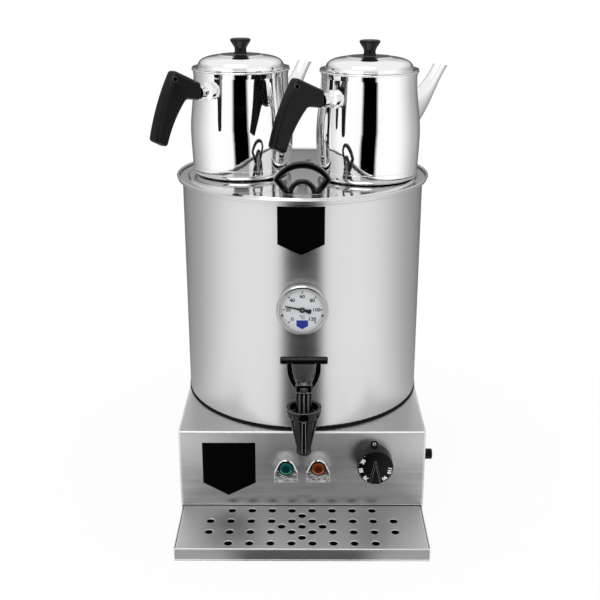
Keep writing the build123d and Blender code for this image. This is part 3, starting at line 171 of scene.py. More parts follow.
def make_worn_edge():
    """Sharp edges, where a rounded normal leaves the surface's own, as a mask from 0 to 1; painted
    edge highlights and painted shade lines go there.
    """
    tree, given, made = group_tree(
        "painted_edge_mask",
        [("Surface", "Vector", None), ("Rounded", "Vector", None)], [("Painted_edge", "Float")],
    )
    alike = reckon(
        tree, "DOT_PRODUCT", given["Surface"], given["Rounded"], kind="ShaderNodeVectorMath"
    )
    plug(tree, made["Painted_edge"], ease(tree, alike["Value"], 0.985, 0.90))
    return tree


belt_grain = make_belt_grain()
handling_marks = make_handling_marks()
painted_edge_mask = make_worn_edge()


def rub_edges(finish, width, tone):
    """Paints along a finish's sharp edges: takes its colour towards a grey tone there, so a light
    tone is a painted highlight and a dark tone a painted shade line.
    """
    tree = finish.node_tree
    colour = tree.nodes["Principled BSDF"].inputs["Base Color"]
    surface = tree.nodes.new("ShaderNodeNewGeometry")
    rounded = add_node(tree, "ShaderNodeBevel", {"samples": 6}, Radius=width)
    mask = add_node(
        tree, "ShaderNodeGroup", {"node_tree": painted_edge_mask},
        Surface=surface.outputs["Normal"], Rounded=rounded.outputs["Normal"],
    )
    plug(tree, colour, blend(tree, mask.outputs["Painted_edge"], fed_by(colour), grey(tone)))


def ground_steel(name, colour, roughness, lines, depth, edge, drawn=0.0, turn=0.25):
    """Ground steel: grain in the sheen, faint marks in the roughness, soft sheared edges.

    Where drawn is above 0, lights are drawn out to one side, turned by a share of a full turn.
    """
    finish, tree, shader = new_finish(name)
    place = object_place(tree)
    grain = add_node(
        tree, "ShaderNodeGroup", {"node_tree": belt_grain},
        Coordinate=place, Lines_per_metre=lines, Depth=depth,
    ).outputs
    marks = add_node(
        tree, "ShaderNodeGroup", {"node_tree": handling_marks}, Coordinate=place, Size=14.0
    ).outputs["Mark"]
    sheen = ease(tree, grain["Streak"], 0.25, 0.75, roughness - 0.05, roughness + 0.06, "LINEAR")
    dulled = reckon(tree, "MULTIPLY_ADD", marks, 0.03, sheen)["Value"]
    plug(tree, shader.inputs["Roughness"], dulled)
    dark_line, light_line = grey(colour * 0.93), (colour * 1.05, colour * 1.05, colour * 1.045, 1)
    tone = blend(tree, grain["Streak"], dark_line, light_line)
    plug(tree, shader.inputs["Base Color"], tone)
    soft = add_node(tree, "ShaderNodeBevel", {"samples": 6}, Radius=edge, Normal=grain["Normal"])
    plug(tree, shader.inputs["Normal"], soft.outputs["Normal"])
    if drawn:
        round_axis = add_node(tree, "ShaderNodeTangent", {"direction_type": "RADIAL", "axis": "Z"})
        plug(tree, shader.inputs["Tangent"], round_axis.outputs["Tangent"])
        shader.inputs["Anisotropic"].default_value = drawn
        shader.inputs["Anisotropic Rotation"].default_value = turn
    shader.inputs["Metallic"].default_value = 1.0
    return finish


def wear(slot_name, finish):
    """Gives every CAD piece of a material slot its finish."""
    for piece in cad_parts.values():
        for holder in piece.material_slots:
            if holder.material and holder.material.name.split(".")[0] == slot_name:
                holder.material = finish


panel_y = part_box("base_housing")[0].y


def dull_towards_foot(finish, unshaded_above, foot, share):
    """Painted shade: takes the front panel down to a share of its colour towards its foot, between
    two heights, in patchy horizontal streaks.
    """
    tree = finish.node_tree
    colour = tree.nodes["Principled BSDF"].inputs["Base Color"]
    place = object_place(tree)
    parts = add_node(tree, "ShaderNodeSeparateXYZ", Vector=place).outputs
    shade_streaks = add_node(
        tree, "ShaderNodeGroup", {"node_tree": belt_grain},
        Coordinate=place, Lines_per_metre=(11.0, 11.0, 130.0), Depth=0.0,
    )
    patchy = ease(tree, shade_streaks.outputs["Streak"], 0.36, 0.64, share * 0.86, share * 1.08, "LINEAR")
    painted_shade = ease(tree, parts["Z"], foot, unshaded_above, patchy)
    behind = ease(tree, parts["Y"], panel_y + 0.002, panel_y + 0.005, easing="LINEAR")
    dulled = add_node(
        tree, "ShaderNodeVectorMath", {"operation": "SCALE"},
        Vector=fed_by(colour), Scale=reckon(tree, "MAXIMUM", painted_shade, behind)["Value"],
    )
    plug(tree, colour, dulled.outputs["Vector"])


base_satin = ground_steel(
    "base_satin", colour=0.64, roughness=0.36, lines=(900.0, 9.0, 9.0), depth=0.03, edge=0.0012,
    drawn=0.85, turn=0.0,
)
# Painted shade on the front panel, darkest at its foot.
dull_towards_foot(base_satin, unshaded_above=0.112, foot=0.060, share=0.62)
# Painted highlight: the housing's sharp edges are taken to white.
rub_edges(base_satin, width=0.0030, tone=1.0)
wear("base_steel", base_satin)


# ---------------------------------------------------------------------------------------------
# Fasteners, rubber and mains fittings
# Zinc-plated screws, studs, nuts, runners and bottom plate; moulded rubber feet, drum ring and tap
# washer; a nylon cable gland. Inside, the lamps' sockets and both thermostats are moulded in brown
# phenolic, and the terminal block is porcelain.
# ---------------------------------------------------------------------------------------------
zinc_plate = ground_steel(
    "zinc_plate", colour=0.50, roughness=0.34, lines=(160.0, 160.0, 160.0), depth=0.04, edge=0.0004
)
wear("plated_steel", zinc_plate)


def moulded_plastic(
    name, colour, roughness, speckle, gloss, edge=0.0004, rubbed=0.0, edge_shading_width=0.0006
):
    """Moulded plastic: the spark-eroded skin of its mould, slightly rounded edges, faint marks and,
    where asked, a painted highlight along its sharp edges.
    """
    finish, tree, shader = new_finish(name)
    place = object_place(tree)
    skin = add_node(tree, "ShaderNodeTexNoise", Vector=place, Scale=2600.0, Detail=2.0)
    bump = add_node(
        tree, "ShaderNodeBump", Strength=speckle, Distance=0.0001, Height=skin.outputs["Fac"]
    )
    soft = add_node(
        tree, "ShaderNodeBevel", {"samples": 4}, Radius=edge, Normal=bump.outputs["Normal"]
    )
    plug(tree, shader.inputs["Normal"], soft.outputs["Normal"])
    marks = add_node(
        tree, "ShaderNodeGroup", {"node_tree": handling_marks}, Coordinate=place, Size=60.0
    ).outputs["Mark"]
    sheen = ease(tree, marks, 0.0, 1.0, roughness, roughness + 0.07, "LINEAR")
    plug(tree, shader.inputs["Roughness"], sheen)
    shader.inputs["Base Color"].default_value = (*colour, 1)
    shader.inputs["Specular IOR Level"].default_value = gloss
    if rubbed:
        rub_edges(finish, edge_shading_width, rubbed)
    return finish


for slot_name, finish_name, colour, roughness, speckle, gloss in (
    ("rubber_black", "foot_rubber", (0.006, 0.006, 0.006), 0.62, 0.25, 0.1),
    ("gland_plastic", "gland_nylon", (0.02, 0.02, 0.02), 0.42, 0.15, 0.4),
    ("phenolic", "brown_phenolic", (0.045, 0.028, 0.02), 0.45, 0.1, 0.4),
    ("ceramic", "terminal_porcelain", (0.78, 0.76, 0.71), 0.22, 0.02, 0.6),
):
    wear(slot_name, moulded_plastic(finish_name, colour, roughness, speckle, gloss))


# ---------------------------------------------------------------------------------------------
# Name plate on the base
# A thin black self-adhesive plate with a pointed foot, pressed on the left of the front panel.
# It is left bare, and it is thin enough for the tray's cover to rise past it.
# ---------------------------------------------------------------------------------------------
def seat(name, mesh, body):
    """A finished mesh as a piece that the CAD leaves out, on its CAD body."""
    piece = bpy.data.objects.new(name, mesh)
    bpy.context.scene.collection.objects.link(piece)
    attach(piece, body)


def fit_piece(name, shape, finish, body, smooth=False):
    """Seats a piece from a bmesh in the row frame."""
    bmesh.ops.recalc_face_normals(shape, faces=shape.faces)
    mesh = bpy.data.meshes.new(name)
    shape.to_mesh(mesh)
    shape.free()
    mesh.materials.append(finish)
    for face in mesh.polygons:
        face.use_smooth = smooth
    seat(name, mesh, body)


def join_loops(shape, low, high):
    """Faces between two closed loops of as many corners."""
    for i in range(len(low)):
        j = (i + 1) % len(low)
        shape.faces.new((low[i], low[j], high[j], high[i]))


def plate_on(outline, place, thickness):
    """A thin plate with a flat outline of (across, up) points; place(across, up, out) sets each."""
    shape = bmesh.new()
    low = [shape.verts.new(place(across, up, 0.0)) for across, up in outline]
    high = [shape.verts.new(place(across, up, thickness)) for across, up in outline]
    shape.faces.new(high)
    shape.faces.new(low[::-1])
    join_loops(shape, low, high)
    return shape


plate_black = moulded_plastic(
    "plate_black", (0.0008, 0.0008, 0.0008), roughness=0.45, speckle=0.0, gloss=0.02, edge=0.0002
)
stick_gap = 0.00002
plate_left, plate_tip_x, plate_right = -0.1215, -0.0905, -0.0570
plate_top, plate_shoulder, plate_tip = 0.1030, 0.0485, 0.0313
plate_thickness = 0.00025
base_plate = plate_on(
    [
        (plate_left, plate_top), (plate_left, plate_shoulder), (plate_tip_x, plate_tip),
        (plate_right, plate_shoulder), (plate_right, plate_top),
    ],
    lambda across, up, out: (across, panel_y - stick_gap - out, up), plate_thickness,
)
fit_piece("base_name_plate", base_plate, plate_black, "housing")


# ---------------------------------------------------------------------------------------------
# Drip tray
# A pan and a punched cover of satin stainless sheet. The pan slides on runners under the base; the
# cover lies on it with its front folded down over the pan's. Painted shade darkens the pan's floor
# and the cover's lip, and a painted highlight runs along the cover's sharp edges.
# ---------------------------------------------------------------------------------------------
tray_satin = ground_steel(
    "tray_satin", colour=0.60, roughness=0.44, lines=(9.0, 800.0, 800.0), depth=0.02, edge=0.0010
)
wear("tray_steel", tray_satin)


def darken_lip(finish, tone, matter):
    """Painted shade on the folded lip: its colour is taken towards a dark tone, and it is made more
    matt.
    """
    tree = finish.node_tree
    inputs = tree.nodes["Principled BSDF"].inputs
    colour, roughness = inputs["Base Color"], inputs["Roughness"]
    cover_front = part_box("drip_cover")[0].y
    fold_end, fold_start = cover_front + 0.0014, cover_front + 0.0004
    parts = add_node(tree, "ShaderNodeSeparateXYZ", Vector=object_place(tree)).outputs
    lip = ease(tree, parts["Y"], fold_end, fold_start, easing="LINEAR")
    plug(tree, colour, blend(tree, lip, fed_by(colour), grey(tone)))
    plug(tree, roughness, reckon(tree, "MULTIPLY_ADD", lip, matter, fed_by(roughness))["Value"])


darken_lip(tray_satin, tone=0.30, matter=0.25)
# Painted highlight: the cover's sharp edges are taken to white.
rub_edges(tray_satin, width=0.0020, tone=1.0)


def make_pan_steel():
    """The pan's steel, with painted shade near black over its floor."""
    finish, tree, shader = new_finish("pan_steel")
    place = object_place(tree)
    marks = add_node(
        tree, "ShaderNodeGroup", {"node_tree": handling_marks}, Coordinate=place, Size=30.0
    ).outputs["Mark"]
    parts = add_node(tree, "ShaderNodeSeparateXYZ", Vector=place).outputs
    pan_sheet = 0.001
    pan_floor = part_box("drip_pan")[0].z + pan_sheet
    shade_top, shade_full = pan_floor + 0.004, pan_floor + 0.0002
    painted_shade = ease(tree, parts["Z"], shade_top, shade_full)
    bare_steel, painted_shade_tone = grey(0.56), (0.012, 0.010, 0.008, 1)
    plug(tree, shader.inputs["Base Color"], blend(tree, painted_shade, bare_steel, painted_shade_tone))
    plug(tree, shader.inputs["Roughness"], ease(tree, marks, 0.0, 1.0, 0.42, 0.52, "LINEAR"))
    shader.inputs["Metallic"].default_value = 1.0
    return finish


pan_steel = make_pan_steel()
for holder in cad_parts["drip_pan"].material_slots:
    holder.material = pan_steel


# ---------------------------------------------------------------------------------------------
# Drum
# Rolled from stainless sheet, seam-welded at the back and ground round and round, so lights
# spread up and down on it. It stands in a rubber ring on the base.
# ---------------------------------------------------------------------------------------------
drum_ground = ground_steel(
    "drum_ground", colour=0.62, roughness=0.30, lines=(9.0, 9.0, 1300.0), depth=0.05, edge=0.0005,
    drawn=0.75,
)
wear("drum_steel", drum_ground)

drum_radius = 0.150
seam_low, seam_high = 0.1215, 0.3975
seam_half_width = 0.0022
seam_height, seam_ripple = 0.0004, 0.00003
seam_sunk = 0.00005
seam_rows, seam_columns = 70, 6
seam = bmesh.new()
rows = []
for k in range(seam_rows):
    z = seam_low + (seam_high - seam_low) * k / (seam_rows - 1)
    ripple = seam_ripple * sin(k * 1.9)
    row = []
    for i in range(seam_columns + 1):
        across = (i / seam_columns - 0.5) * 2
        out = seam_height * (1 - across * across) + ripple * (1 - abs(across))
        angle = across * seam_half_width / drum_radius
        reach = drum_radius - seam_sunk + out
        row.append(seam.verts.new((reach * sin(angle), reach * cos(angle), z)))
    rows.append(row)
for low, high in zip(rows, rows[1:]):
    for i in range(seam_columns):
        seam.faces.new((low[i], low[i + 1], high[i + 1], high[i]))
fit_piece("drum_weld_seam", seam, drum_ground, "housing", smooth=True)


# ---------------------------------------------------------------------------------------------
# Name plate on the drum
# The same black plate with a pointed foot, here bent round the drum under its rim and stuck on.
# It is left bare too.
# ---------------------------------------------------------------------------------------------
badge_centre = -0.0015
badge_half_width = 0.027
badge_top, badge_shoulder, badge_tip = 0.395, 0.351, 0.339
badge_thickness = 0.0006
badge_gap = 0.00003
badge_columns = 28


def on_drum(across, up, out):
    """A point wrapped round the drum, across metres from the front line."""
    angle = (badge_centre + across) / drum_radius
    reach = drum_radius + badge_gap + out
    return (reach * sin(angle), -reach * cos(angle), up)


badge = bmesh.new()
rings = []
for i in range(badge_columns + 1):
    across = badge_half_width * (2 * i / badge_columns - 1)
    foot = badge_tip + (badge_shoulder - badge_tip) * abs(across) / badge_half_width
    rings.append([badge.verts.new(on_drum(across, up, out)) for up, out in (
        (badge_top, 0.0), (badge_top, badge_thickness), (foot, badge_thickness), (foot, 0.0),
    )])
for left, right in zip(rings, rings[1:]):
    join_loops(badge, left, right)
badge.faces.new(rings[0])
badge.faces.new(rings[-1][::-1])
fit_piece("drum_name_plate", badge, plate_black, "housing")


# ---------------------------------------------------------------------------------------------
# Dial thermometer
# A polished steel case with a rolled bezel and a flat pane; the dial is a white enamelled disc
# printed in black, and its thread goes through the drum's wall.
# ---------------------------------------------------------------------------------------------
def polished_steel(name, colour, roughness, waviness=0.0, edge=0.0003, mark_size=9.0):
    """Metal or plating polished to a mirror, with the slight waviness of drawn sheet."""
    finish, tree, shader = new_finish(name)
    marks = add_node(
        tree, "ShaderNodeGroup", {"node_tree": handling_marks},
        Coordinate=object_place(tree), Size=mark_size,
    ).outputs["Mark"]
    sheen = ease(tree, marks, 0.0, 1.0, roughness, roughness * 1.6, "LINEAR")
    plug(tree, shader.inputs["Roughness"], sheen)
    bump = add_node(tree, "ShaderNodeBump", Strength=waviness, Distance=0.002, Height=marks)
    soft = add_node(
        tree, "ShaderNodeBevel", {"samples": 4}, Radius=edge, Normal=bump.outputs["Normal"]
    )
    plug(tree, shader.inputs["Normal"], soft.outputs["Normal"])
    shader.inputs["Base Color"].default_value = colour
    shader.inputs["Metallic"].default_value = 1.0
    return finish


gauge_polish = polished_steel("gauge_polish", grey(0.46), roughness=0.22)
# Painted shade: the case's sharp edges are taken near black, a dark line round the bezel.
rub_edges(gauge_polish, width=0.0007, tone=0.05)
wear("gauge_steel", gauge_polish)


def enamel(name, colour, roughness):
    """Stoved enamel or printing ink, with a trace of orange peel."""
    finish, tree, shader = new_finish(name)
    peel = add_node(
        tree, "ShaderNodeTexNoise", Vector=object_place(tree), Scale=900.0, Detail=1.0
    ).outputs["Fac"]
    bump = add_node(tree, "ShaderNodeBump", Strength=0.05, Distance=0.0002, Height=peel)
    plug(tree, shader.inputs["Normal"], bump.outputs["Normal"])
    shader.inputs["Base Color"].default_value = (*colour, 1)
    shader.inputs["Roughness"].default_value = roughness
    return finish


wear("dial_white", enamel("dial_enamel", (0.70, 0.71, 0.72), 0.5))
ink_black = enamel("ink_black", (0.012, 0.012, 0.014), 0.55)
wear("pointer_black", ink_black)


def choose(tree, share, first, second):
    """One shader or the other, by a kind of ray or a share from 0 to 1."""
    mix = tree.nodes.new("ShaderNodeMixShader")
    for inlet, source in zip(mix.inputs, (share, first, second)):
        plug(tree, inlet, source)
    return mix.outputs["Shader"]


def make_pane(name):
    """Clear float glass: shadow and diffuse rays pass, so the dial behind it is lit."""
    finish, tree, shader = new_finish(name)
    for label, value in (
        ("Base Color", (0.97, 0.98, 0.98, 1)), ("Roughness", 0.0), ("IOR", 1.45),
        ("Transmission Weight", 1.0),
    ):
        shader.inputs[label].default_value = value
    clear = tree.nodes.new("ShaderNodeBsdfTransparent").outputs["BSDF"]
    ray = tree.nodes.new("ShaderNodeLightPath").outputs
    passing = reckon(tree, "MAXIMUM", ray["Is Shadow Ray"], ray["Is Diffuse Ray"])["Value"]
    pane = choose(tree, passing, shader.outputs["BSDF"], clear)
    plug(tree, tree.nodes["Material Output"].inputs["Surface"], pane)
    return finish


wear("gauge_glass", make_pane("gauge_pane"))

dial_low, dial_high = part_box("gauge_dial")
dial_centre = (dial_low + dial_high) / 2
dial_face = dial_low.y
dial_sweep = radians(270.0)
dial_full_scale = 120
ink_thickness = 0.00006
ink_gap = 0.00001
ink_y = dial_face - ink_thickness / 2 - ink_gap
print_centre = Vector((dial_centre.x, ink_y, dial_centre.z))


def make_scale_marks():
    """Bars spread round an arc, clockwise from its first angle, seen from the front."""
    tree, given, made = group_tree(
        "scale_marks",
        [
            ("Count", "Int", None), ("First angle", "Float", None), ("Sweep", "Float", None),
            ("Radius", "Float", None), ("Bar", "Vector", None), ("Centre", "Vector", None),
            ("Finish", "Material", None),
        ],
        [("Geometry", "Geometry")],
        "GeometryNodeTree",
    )
    dots = add_node(tree, "GeometryNodePoints", Count=given["Count"])
    index = tree.nodes.new("GeometryNodeInputIndex").outputs["Index"]
    last = reckon(tree, "SUBTRACT", given["Count"], 1.0)["Value"]
    share = reckon(tree, "DIVIDE", index, last)["Value"]
    angle = reckon(tree, "MULTIPLY_ADD", share, given["Sweep"], given["First angle"])["Value"]
    turn = add_node(tree, "ShaderNodeCombineXYZ", Y=angle).outputs["Vector"]
    arm = add_node(tree, "ShaderNodeCombineXYZ", Z=given["Radius"]).outputs["Vector"]
    swing = add_node(
        tree, "ShaderNodeVectorRotate", {"rotation_type": "EULER_XYZ"}, Vector=arm, Rotation=turn
    ).outputs["Vector"]
    spot = reckon(tree, "ADD", swing, given["Centre"], kind="ShaderNodeVectorMath")["Vector"]
    spread = add_node(
        tree, "GeometryNodeSetPosition", Geometry=dots.outputs["Points"], Position=spot
    )
    bar = add_node(tree, "GeometryNodeMeshCube", Size=given["Bar"])
    placed = add_node(
        tree, "GeometryNodeInstanceOnPoints",
        Points=spread.outputs["Geometry"], Instance=bar.outputs["Mesh"], Rotation=turn,
    )
    real = add_node(tree, "GeometryNodeRealizeInstances", Geometry=placed.outputs["Instances"])
    dressed = add_node(
        tree, "GeometryNodeSetMaterial", Geometry=real.outputs["Geometry"], Material=given["Finish"]
    )
    plug(tree, made["Geometry"], dressed.outputs["Geometry"])
    return tree


scale_marks = make_scale_marks()


def plain_mesh(name, live):
    """What a live object comes to, as a plain mesh; the live object goes."""
    bpy.context.scene.collection.objects.link(live)
    bpy.context.view_layer.update()
    made = live.evaluated_get(bpy.context.evaluated_depsgraph_get())
    mesh = bpy.data.meshes.new_from_object(made)
    mesh.name = name
    bpy.data.objects.remove(live)
    return mesh


def bake_marks(name, body, values):
    """Runs the scale_marks nodes once and seats the result as a plain mesh."""
    holder = bpy.data.objects.new(name + "_nodes", bpy.data.meshes.new(name + "_nodes"))
    live = holder.modifiers.new("marks", "NODES")
    live.node_group = scale_marks
    for item in scale_marks.interface.items_tree:
        if item.item_type == "SOCKET" and item.in_out == "INPUT":
            live[item.identifier] = values[item.name]
    seat(name, plain_mesh(name, holder), body)


stop_angle = radians(107.0)
for name, count, first_angle, radius, bar in (
    ("dial_marks_fine", 61, -dial_sweep / 2, 0.0236, (0.00034, ink_thickness, 0.0016)),
    ("dial_marks_bold", 7, -dial_sweep / 2, 0.0213, (0.0013, ink_thickness, 0.0024)),
    ("dial_stops", 2, -stop_angle, 0.0242, (0.0024, ink_thickness, 0.0024)),
):
    bake_marks(name, "housing", {
        "Count": count, "First angle": first_angle, "Sweep": -2 * first_angle, "Radius": radius,
        "Bar": bar, "Centre": print_centre, "Finish": ink_black,
    })


def letter(name, text, height, weight, centre, turn, finish, body):
    """Printed characters that face the front, turned clockwise by turn and thickened by weight."""
    curve = bpy.data.curves.new(name, "FONT")
    curve.body = text
    curve.size = height
    curve.offset = weight
    curve.extrude = ink_thickness / 2
    curve.align_x = "CENTER"
    curve.align_y = "CENTER"
    mesh = plain_mesh(name, bpy.data.objects.new(name + "_text", curve))
    upright = Matrix.Rotation(pi / 2, 4, "X")
    mesh.transform(Matrix.Translation(centre) @ Matrix.Rotation(turn, 4, "Y") @ upright)
    mesh.materials.clear()
    mesh.materials.append(finish)
    seat(name, mesh, body)


numeral_radius, numeral_height, numeral_weight = 0.0162, 0.0060, 0.00016
unit_drop, unit_height, unit_weight = 0.0092, 0.0054, 0.00014
for reading in range(0, dial_full_scale + 1, 20):
    angle = dial_sweep * (reading / dial_full_scale - 0.5)
    spot = print_centre + Vector((numeral_radius * sin(angle), 0, numeral_radius * cos(angle)))
    letter(
        f"dial_numeral_{reading}", str(reading), numeral_height, numeral_weight, spot, 0.0,
        ink_black, "housing",
    )
letter(
    "dial_unit", "°C", unit_height, unit_weight, print_centre - Vector((0, 0, unit_drop)), 0.0,
    ink_black, "housing",
)

shield_half_width = 0.0067
shield_top, shield_shoulder, shield_tip = -0.0128, -0.0200, -0.0238
dial_shield = plate_on(
    [
        (-shield_half_width, shield_top), (-shield_half_width, shield_shoulder), (0.0, shield_tip),
        (shield_half_width, shield_shoulder), (shield_half_width, shield_top),
    ],
    lambda across, up, out: (dial_centre.x + across, dial_face - ink_gap - out, dial_centre.z + up),
    ink_thickness,
)
ink_blue = enamel("ink_blue", (0.010, 0.030, 0.300), 0.5)
fit_piece("dial_shield", dial_shield, ink_blue, "housing")

pointer_reading = 25.7
pointer_turn = dial_sweep * (pointer_reading / dial_full_scale - 0.5)
pointer_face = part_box("gauge_pointer")[0].y


def on_pointer(across, along, out):
    """A point of the pointer's own plane, along towards its tip, out towards the pane."""
    x = across * cos(pointer_turn) + along * sin(pointer_turn)
    z = along * cos(pointer_turn) - across * sin(pointer_turn)
    return (dial_centre.x + x, pointer_face - out, dial_centre.z + z)


def pointer_plate(outline, start, thickness):
    """A plate on the pointer that starts a little out from its face, or behind it."""
    return plate_on(
        outline, lambda across, along, out: on_pointer(across, along, start + out), thickness
    )


def round_outline(radius, corners):
    """The (across, up) points of a circle."""
    angles = [2 * pi * i / corners for i in range(corners)]
    return [(radius * cos(angle), radius * sin(angle)) for angle in angles]


blade_edge = [
    (0.0005, 0.0203), (0.0013, 0.0), (0.0011, -0.002), (0.0031, -0.0098), (0.0016, -0.0106),
]
blade = [(-across, along) for across, along in blade_edge] + blade_edge[::-1]
blade_sunk, blade_thickness = 0.0004, 0.0002
hub, rivet = round_outline(0.0033, 40), round_outline(0.0014, 40)
hub_start, hub_thickness = 0.00002, 0.0001
rivet_start = hub_start + hub_thickness
for name, outline, start, thickness, finish, slot_name in (
    ("pointer_blade", blade, -blade_sunk, blade_thickness, ink_black, "pointer_black"),
    ("pointer_hub", hub, hub_start, hub_thickness, ink_black, "pointer_black"),
    ("pointer_rivet", rivet, rivet_start, hub_thickness, zinc_plate, "gauge_steel"),
):
    fit_piece(name, pointer_plate(outline, start, thickness), finish, "pointer")


# ---------------------------------------------------------------------------------------------
# Tap
# Black glass-filled plastic, moulded glossy: a cone with a cup on top, a slotted bonnet and a
# forked lever on a steel pin. A nut inside the drum clamps it on a rubber washer.
# ---------------------------------------------------------------------------------------------
pigment_black = (0.002, 0.002, 0.002)
# Painted highlight: the tap's sharp edges are taken to a light grey.
wear("tap_plastic", moulded_plastic(
    "tap_gloss", pigment_black, roughness=0.08, speckle=0.03, gloss=0.22, edge=0.0008,
    rubbed=0.55, edge_shading_width=0.0007,
))
wear("silicone", moulded_plastic(
    "white_silicone", (0.66, 0.65, 0.62), roughness=0.5, speckle=0.02, gloss=0.4
))


# ---------------------------------------------------------------------------------------------
# Pilot lamps
# Chromed arch housings with a black collar round a tinted lens; they are pushed through the
# front panel and held by their sockets behind it.
# ---------------------------------------------------------------------------------------------
lamp_plating = polished_steel(
    "lamp_plating", grey(0.74), roughness=0.16, waviness=0.08, edge=0.0010, mark_size=190.0
)
# Painted highlight: the housings' sharp edges are taken to white.
rub_edges(lamp_plating, width=0.0010, tone=1.0)
wear("lamp_chrome", lamp_plating)
wear("lamp_collar_plastic", moulded_plastic(
    "collar_black", pigment_black, roughness=0.15, speckle=0.03, gloss=0.25
))


def tinted_lens(name, node, deep, pale, painted_highlight):
    """Moulded lens, dark in its thick middle and paler at its rim, with a painted highlight along
    the rim's foot.
    """
    finish, tree, shader = new_finish(name)
    low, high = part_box(node)
    radius = (high.x - low.x) / 2
    place = object_place(tree)
    from_middle = reckon(
        tree, "SUBTRACT", place, (low + high) / 2, kind="ShaderNodeVectorMath"
    )["Vector"]
    flat = reckon(tree, "MULTIPLY", from_middle, (1, 0, 1), kind="ShaderNodeVectorMath")["Vector"]
    away = reckon(tree, "LENGTH", flat, kind="ShaderNodeVectorMath")["Value"]
    rim = ease(tree, away, radius * 0.30, radius * 0.88)
    tint = blend(tree, rim, (*deep, 1), (*pale, 1))
    parts = add_node(tree, "ShaderNodeSeparateXYZ", Vector=from_middle).outputs
    lower = ease(tree, parts["Z"], 0.0, -radius * 0.6)
    edge = ease(tree, away, radius * 0.68, radius * 0.84)
    highlight_mask = reckon(tree, "MULTIPLY", lower, edge)["Value"]
    plug(tree, shader.inputs["Base Color"], blend(tree, highlight_mask, tint, (*painted_highlight, 1)))
    facets = add_node(tree, "ShaderNodeTexVoronoi", Vector=place, Scale=620.0).outputs["Distance"]
    bump = add_node(tree, "ShaderNodeBump", Strength=0.3, Distance=0.0006, Height=facets)
    plug(tree, shader.inputs["Normal"], bump.outputs["Normal"])
    shader.inputs["Roughness"].default_value = 0.16
    shader.inputs["Specular IOR Level"].default_value = 0.2
    return finish


wear("lens_green", tinted_lens(
    "green_lens", "lamp_lens_green",
    deep=(0.0, 0.022, 0.021), pale=(0.0, 0.075, 0.065), painted_highlight=(0.09, 0.36, 0.30),
))
wear("lens_orange", tinted_lens(
    "orange_lens", "lamp_lens_orange",
    deep=(0.045, 0.006, 0.0), pale=(0.17, 0.030, 0.003), painted_highlight=(0.55, 0.24, 0.11),
))


# ---------------------------------------------------------------------------------------------
# Thermostat knob
# A glossy black moulding pushed on the thermostat's spindle, printed in white round its face; a
# round index mark is stuck on the panel above it.
# ---------------------------------------------------------------------------------------------
# Painted highlight: the knob's sharp edges are taken to grey.
wear("knob_plastic", moulded_plastic(
    "knob_gloss", pigment_black, roughness=0.10, speckle=0.03, gloss=0.12, edge=0.0010, rubbed=0.40
))
ink_white = enamel("ink_white", (0.85, 0.85, 0.85), 0.5)

spindle_low, spindle_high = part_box("thermostat_spindle")
spindle = (spindle_low + spindle_high) / 2
knob_grip_height = 0.0046
knob_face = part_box("thermostat_knob")[0].y + knob_grip_height
knob_print_y = knob_face - ink_thickness / 2 - ink_gap
knob_print_radius, knob_print_height, knob_print_weight = 0.0172, 0.0060, 0.00026
for reading, turned in ((30, 60.0), (50, 100.0), (70, 140.0), (90, 220.0), (110, 260.0)):
    angle = -radians(turned)
    spot = Vector((
        spindle.x + knob_print_radius * sin(angle), knob_print_y,
        spindle.z + knob_print_radius * cos(angle),
    ))
    letter(
        f"knob_numeral_{reading}", str(reading), knob_print_height, knob_print_weight, spot, angle,
        ink_white, "knob",
    )
bake_marks("knob_marks", "knob", {
    "Count": 23, "First angle": radians(-260.0), "Sweep": radians(220.0), "Radius": 0.0206,
    "Bar": (0.0004, ink_thickness, 0.0008), "Centre": (spindle.x, knob_print_y, spindle.z),
    "Finish": ink_white,
})

index_x, index_z = 0.0876, 0.1016
index_radius, index_thickness = 0.0045, 0.0003
index_ring_inner, index_ring_outer = 0.0013, 0.0021


def on_index(across, up, out):
    """A point of the index mark, out from the panel."""
    return (index_x + across, panel_y - out, index_z + up)


index_corners = 48
index_mark = plate_on(
    round_outline(index_radius, index_corners),
    lambda across, up, out: on_index(across, up, stick_gap + out), index_thickness,
)
fit_piece("index_mark", index_mark, plate_black, "housing")
ring = bmesh.new()
ring_back = stick_gap + index_thickness
ring_front = ring_back + ink_thickness
loops = []
for radius, out in (
    (index_ring_outer, ring_back), (index_ring_outer, ring_front),
    (index_ring_inner, ring_front), (index_ring_inner, ring_back),
):
    outline = round_outline(radius, index_corners)
    loops.append([ring.verts.new(on_index(across, up, out)) for across, up in outline])
for low, high in zip(loops, loops[1:] + loops[:1]):
    join_loops(ring, low, high)
fit_piece("index_ring", ring, ink_white, "housing")


# ---------------------------------------------------------------------------------------------
# Thermostat bulb and heating element
# The capillary and bulb are drawn copper; the element is an annealed tube, straw-coloured to
# grey from its first heating.
# ---------------------------------------------------------------------------------------------
wear("copper_tube", polished_steel("drawn_copper", (0.72, 0.36, 0.22, 1), roughness=0.28))
wear("heater_tube", polished_steel("annealed_tube", (0.28, 0.26, 0.24, 1), roughness=0.35))


# ---------------------------------------------------------------------------------------------
# Lid and its handle
# The lid is pressed from sheet and polished, with a raised plateau inside its brim. The handle is
# one glossy black moulding screwed on a plated bracket with a pad under it.
# ---------------------------------------------------------------------------------------------
wear("lid_steel", polished_steel(
    "lid_polish", grey(0.62), roughness=0.07, waviness=0.03, edge=0.0006
))
# Painted highlight: the handle's sharp edges are taken to a faint grey.
wear("lid_handle_plastic", moulded_plastic(
    "handle_gloss", pigment_black, roughness=0.08, speckle=0.02, gloss=0.34, rubbed=0.22,
    edge_shading_width=0.0007,
))


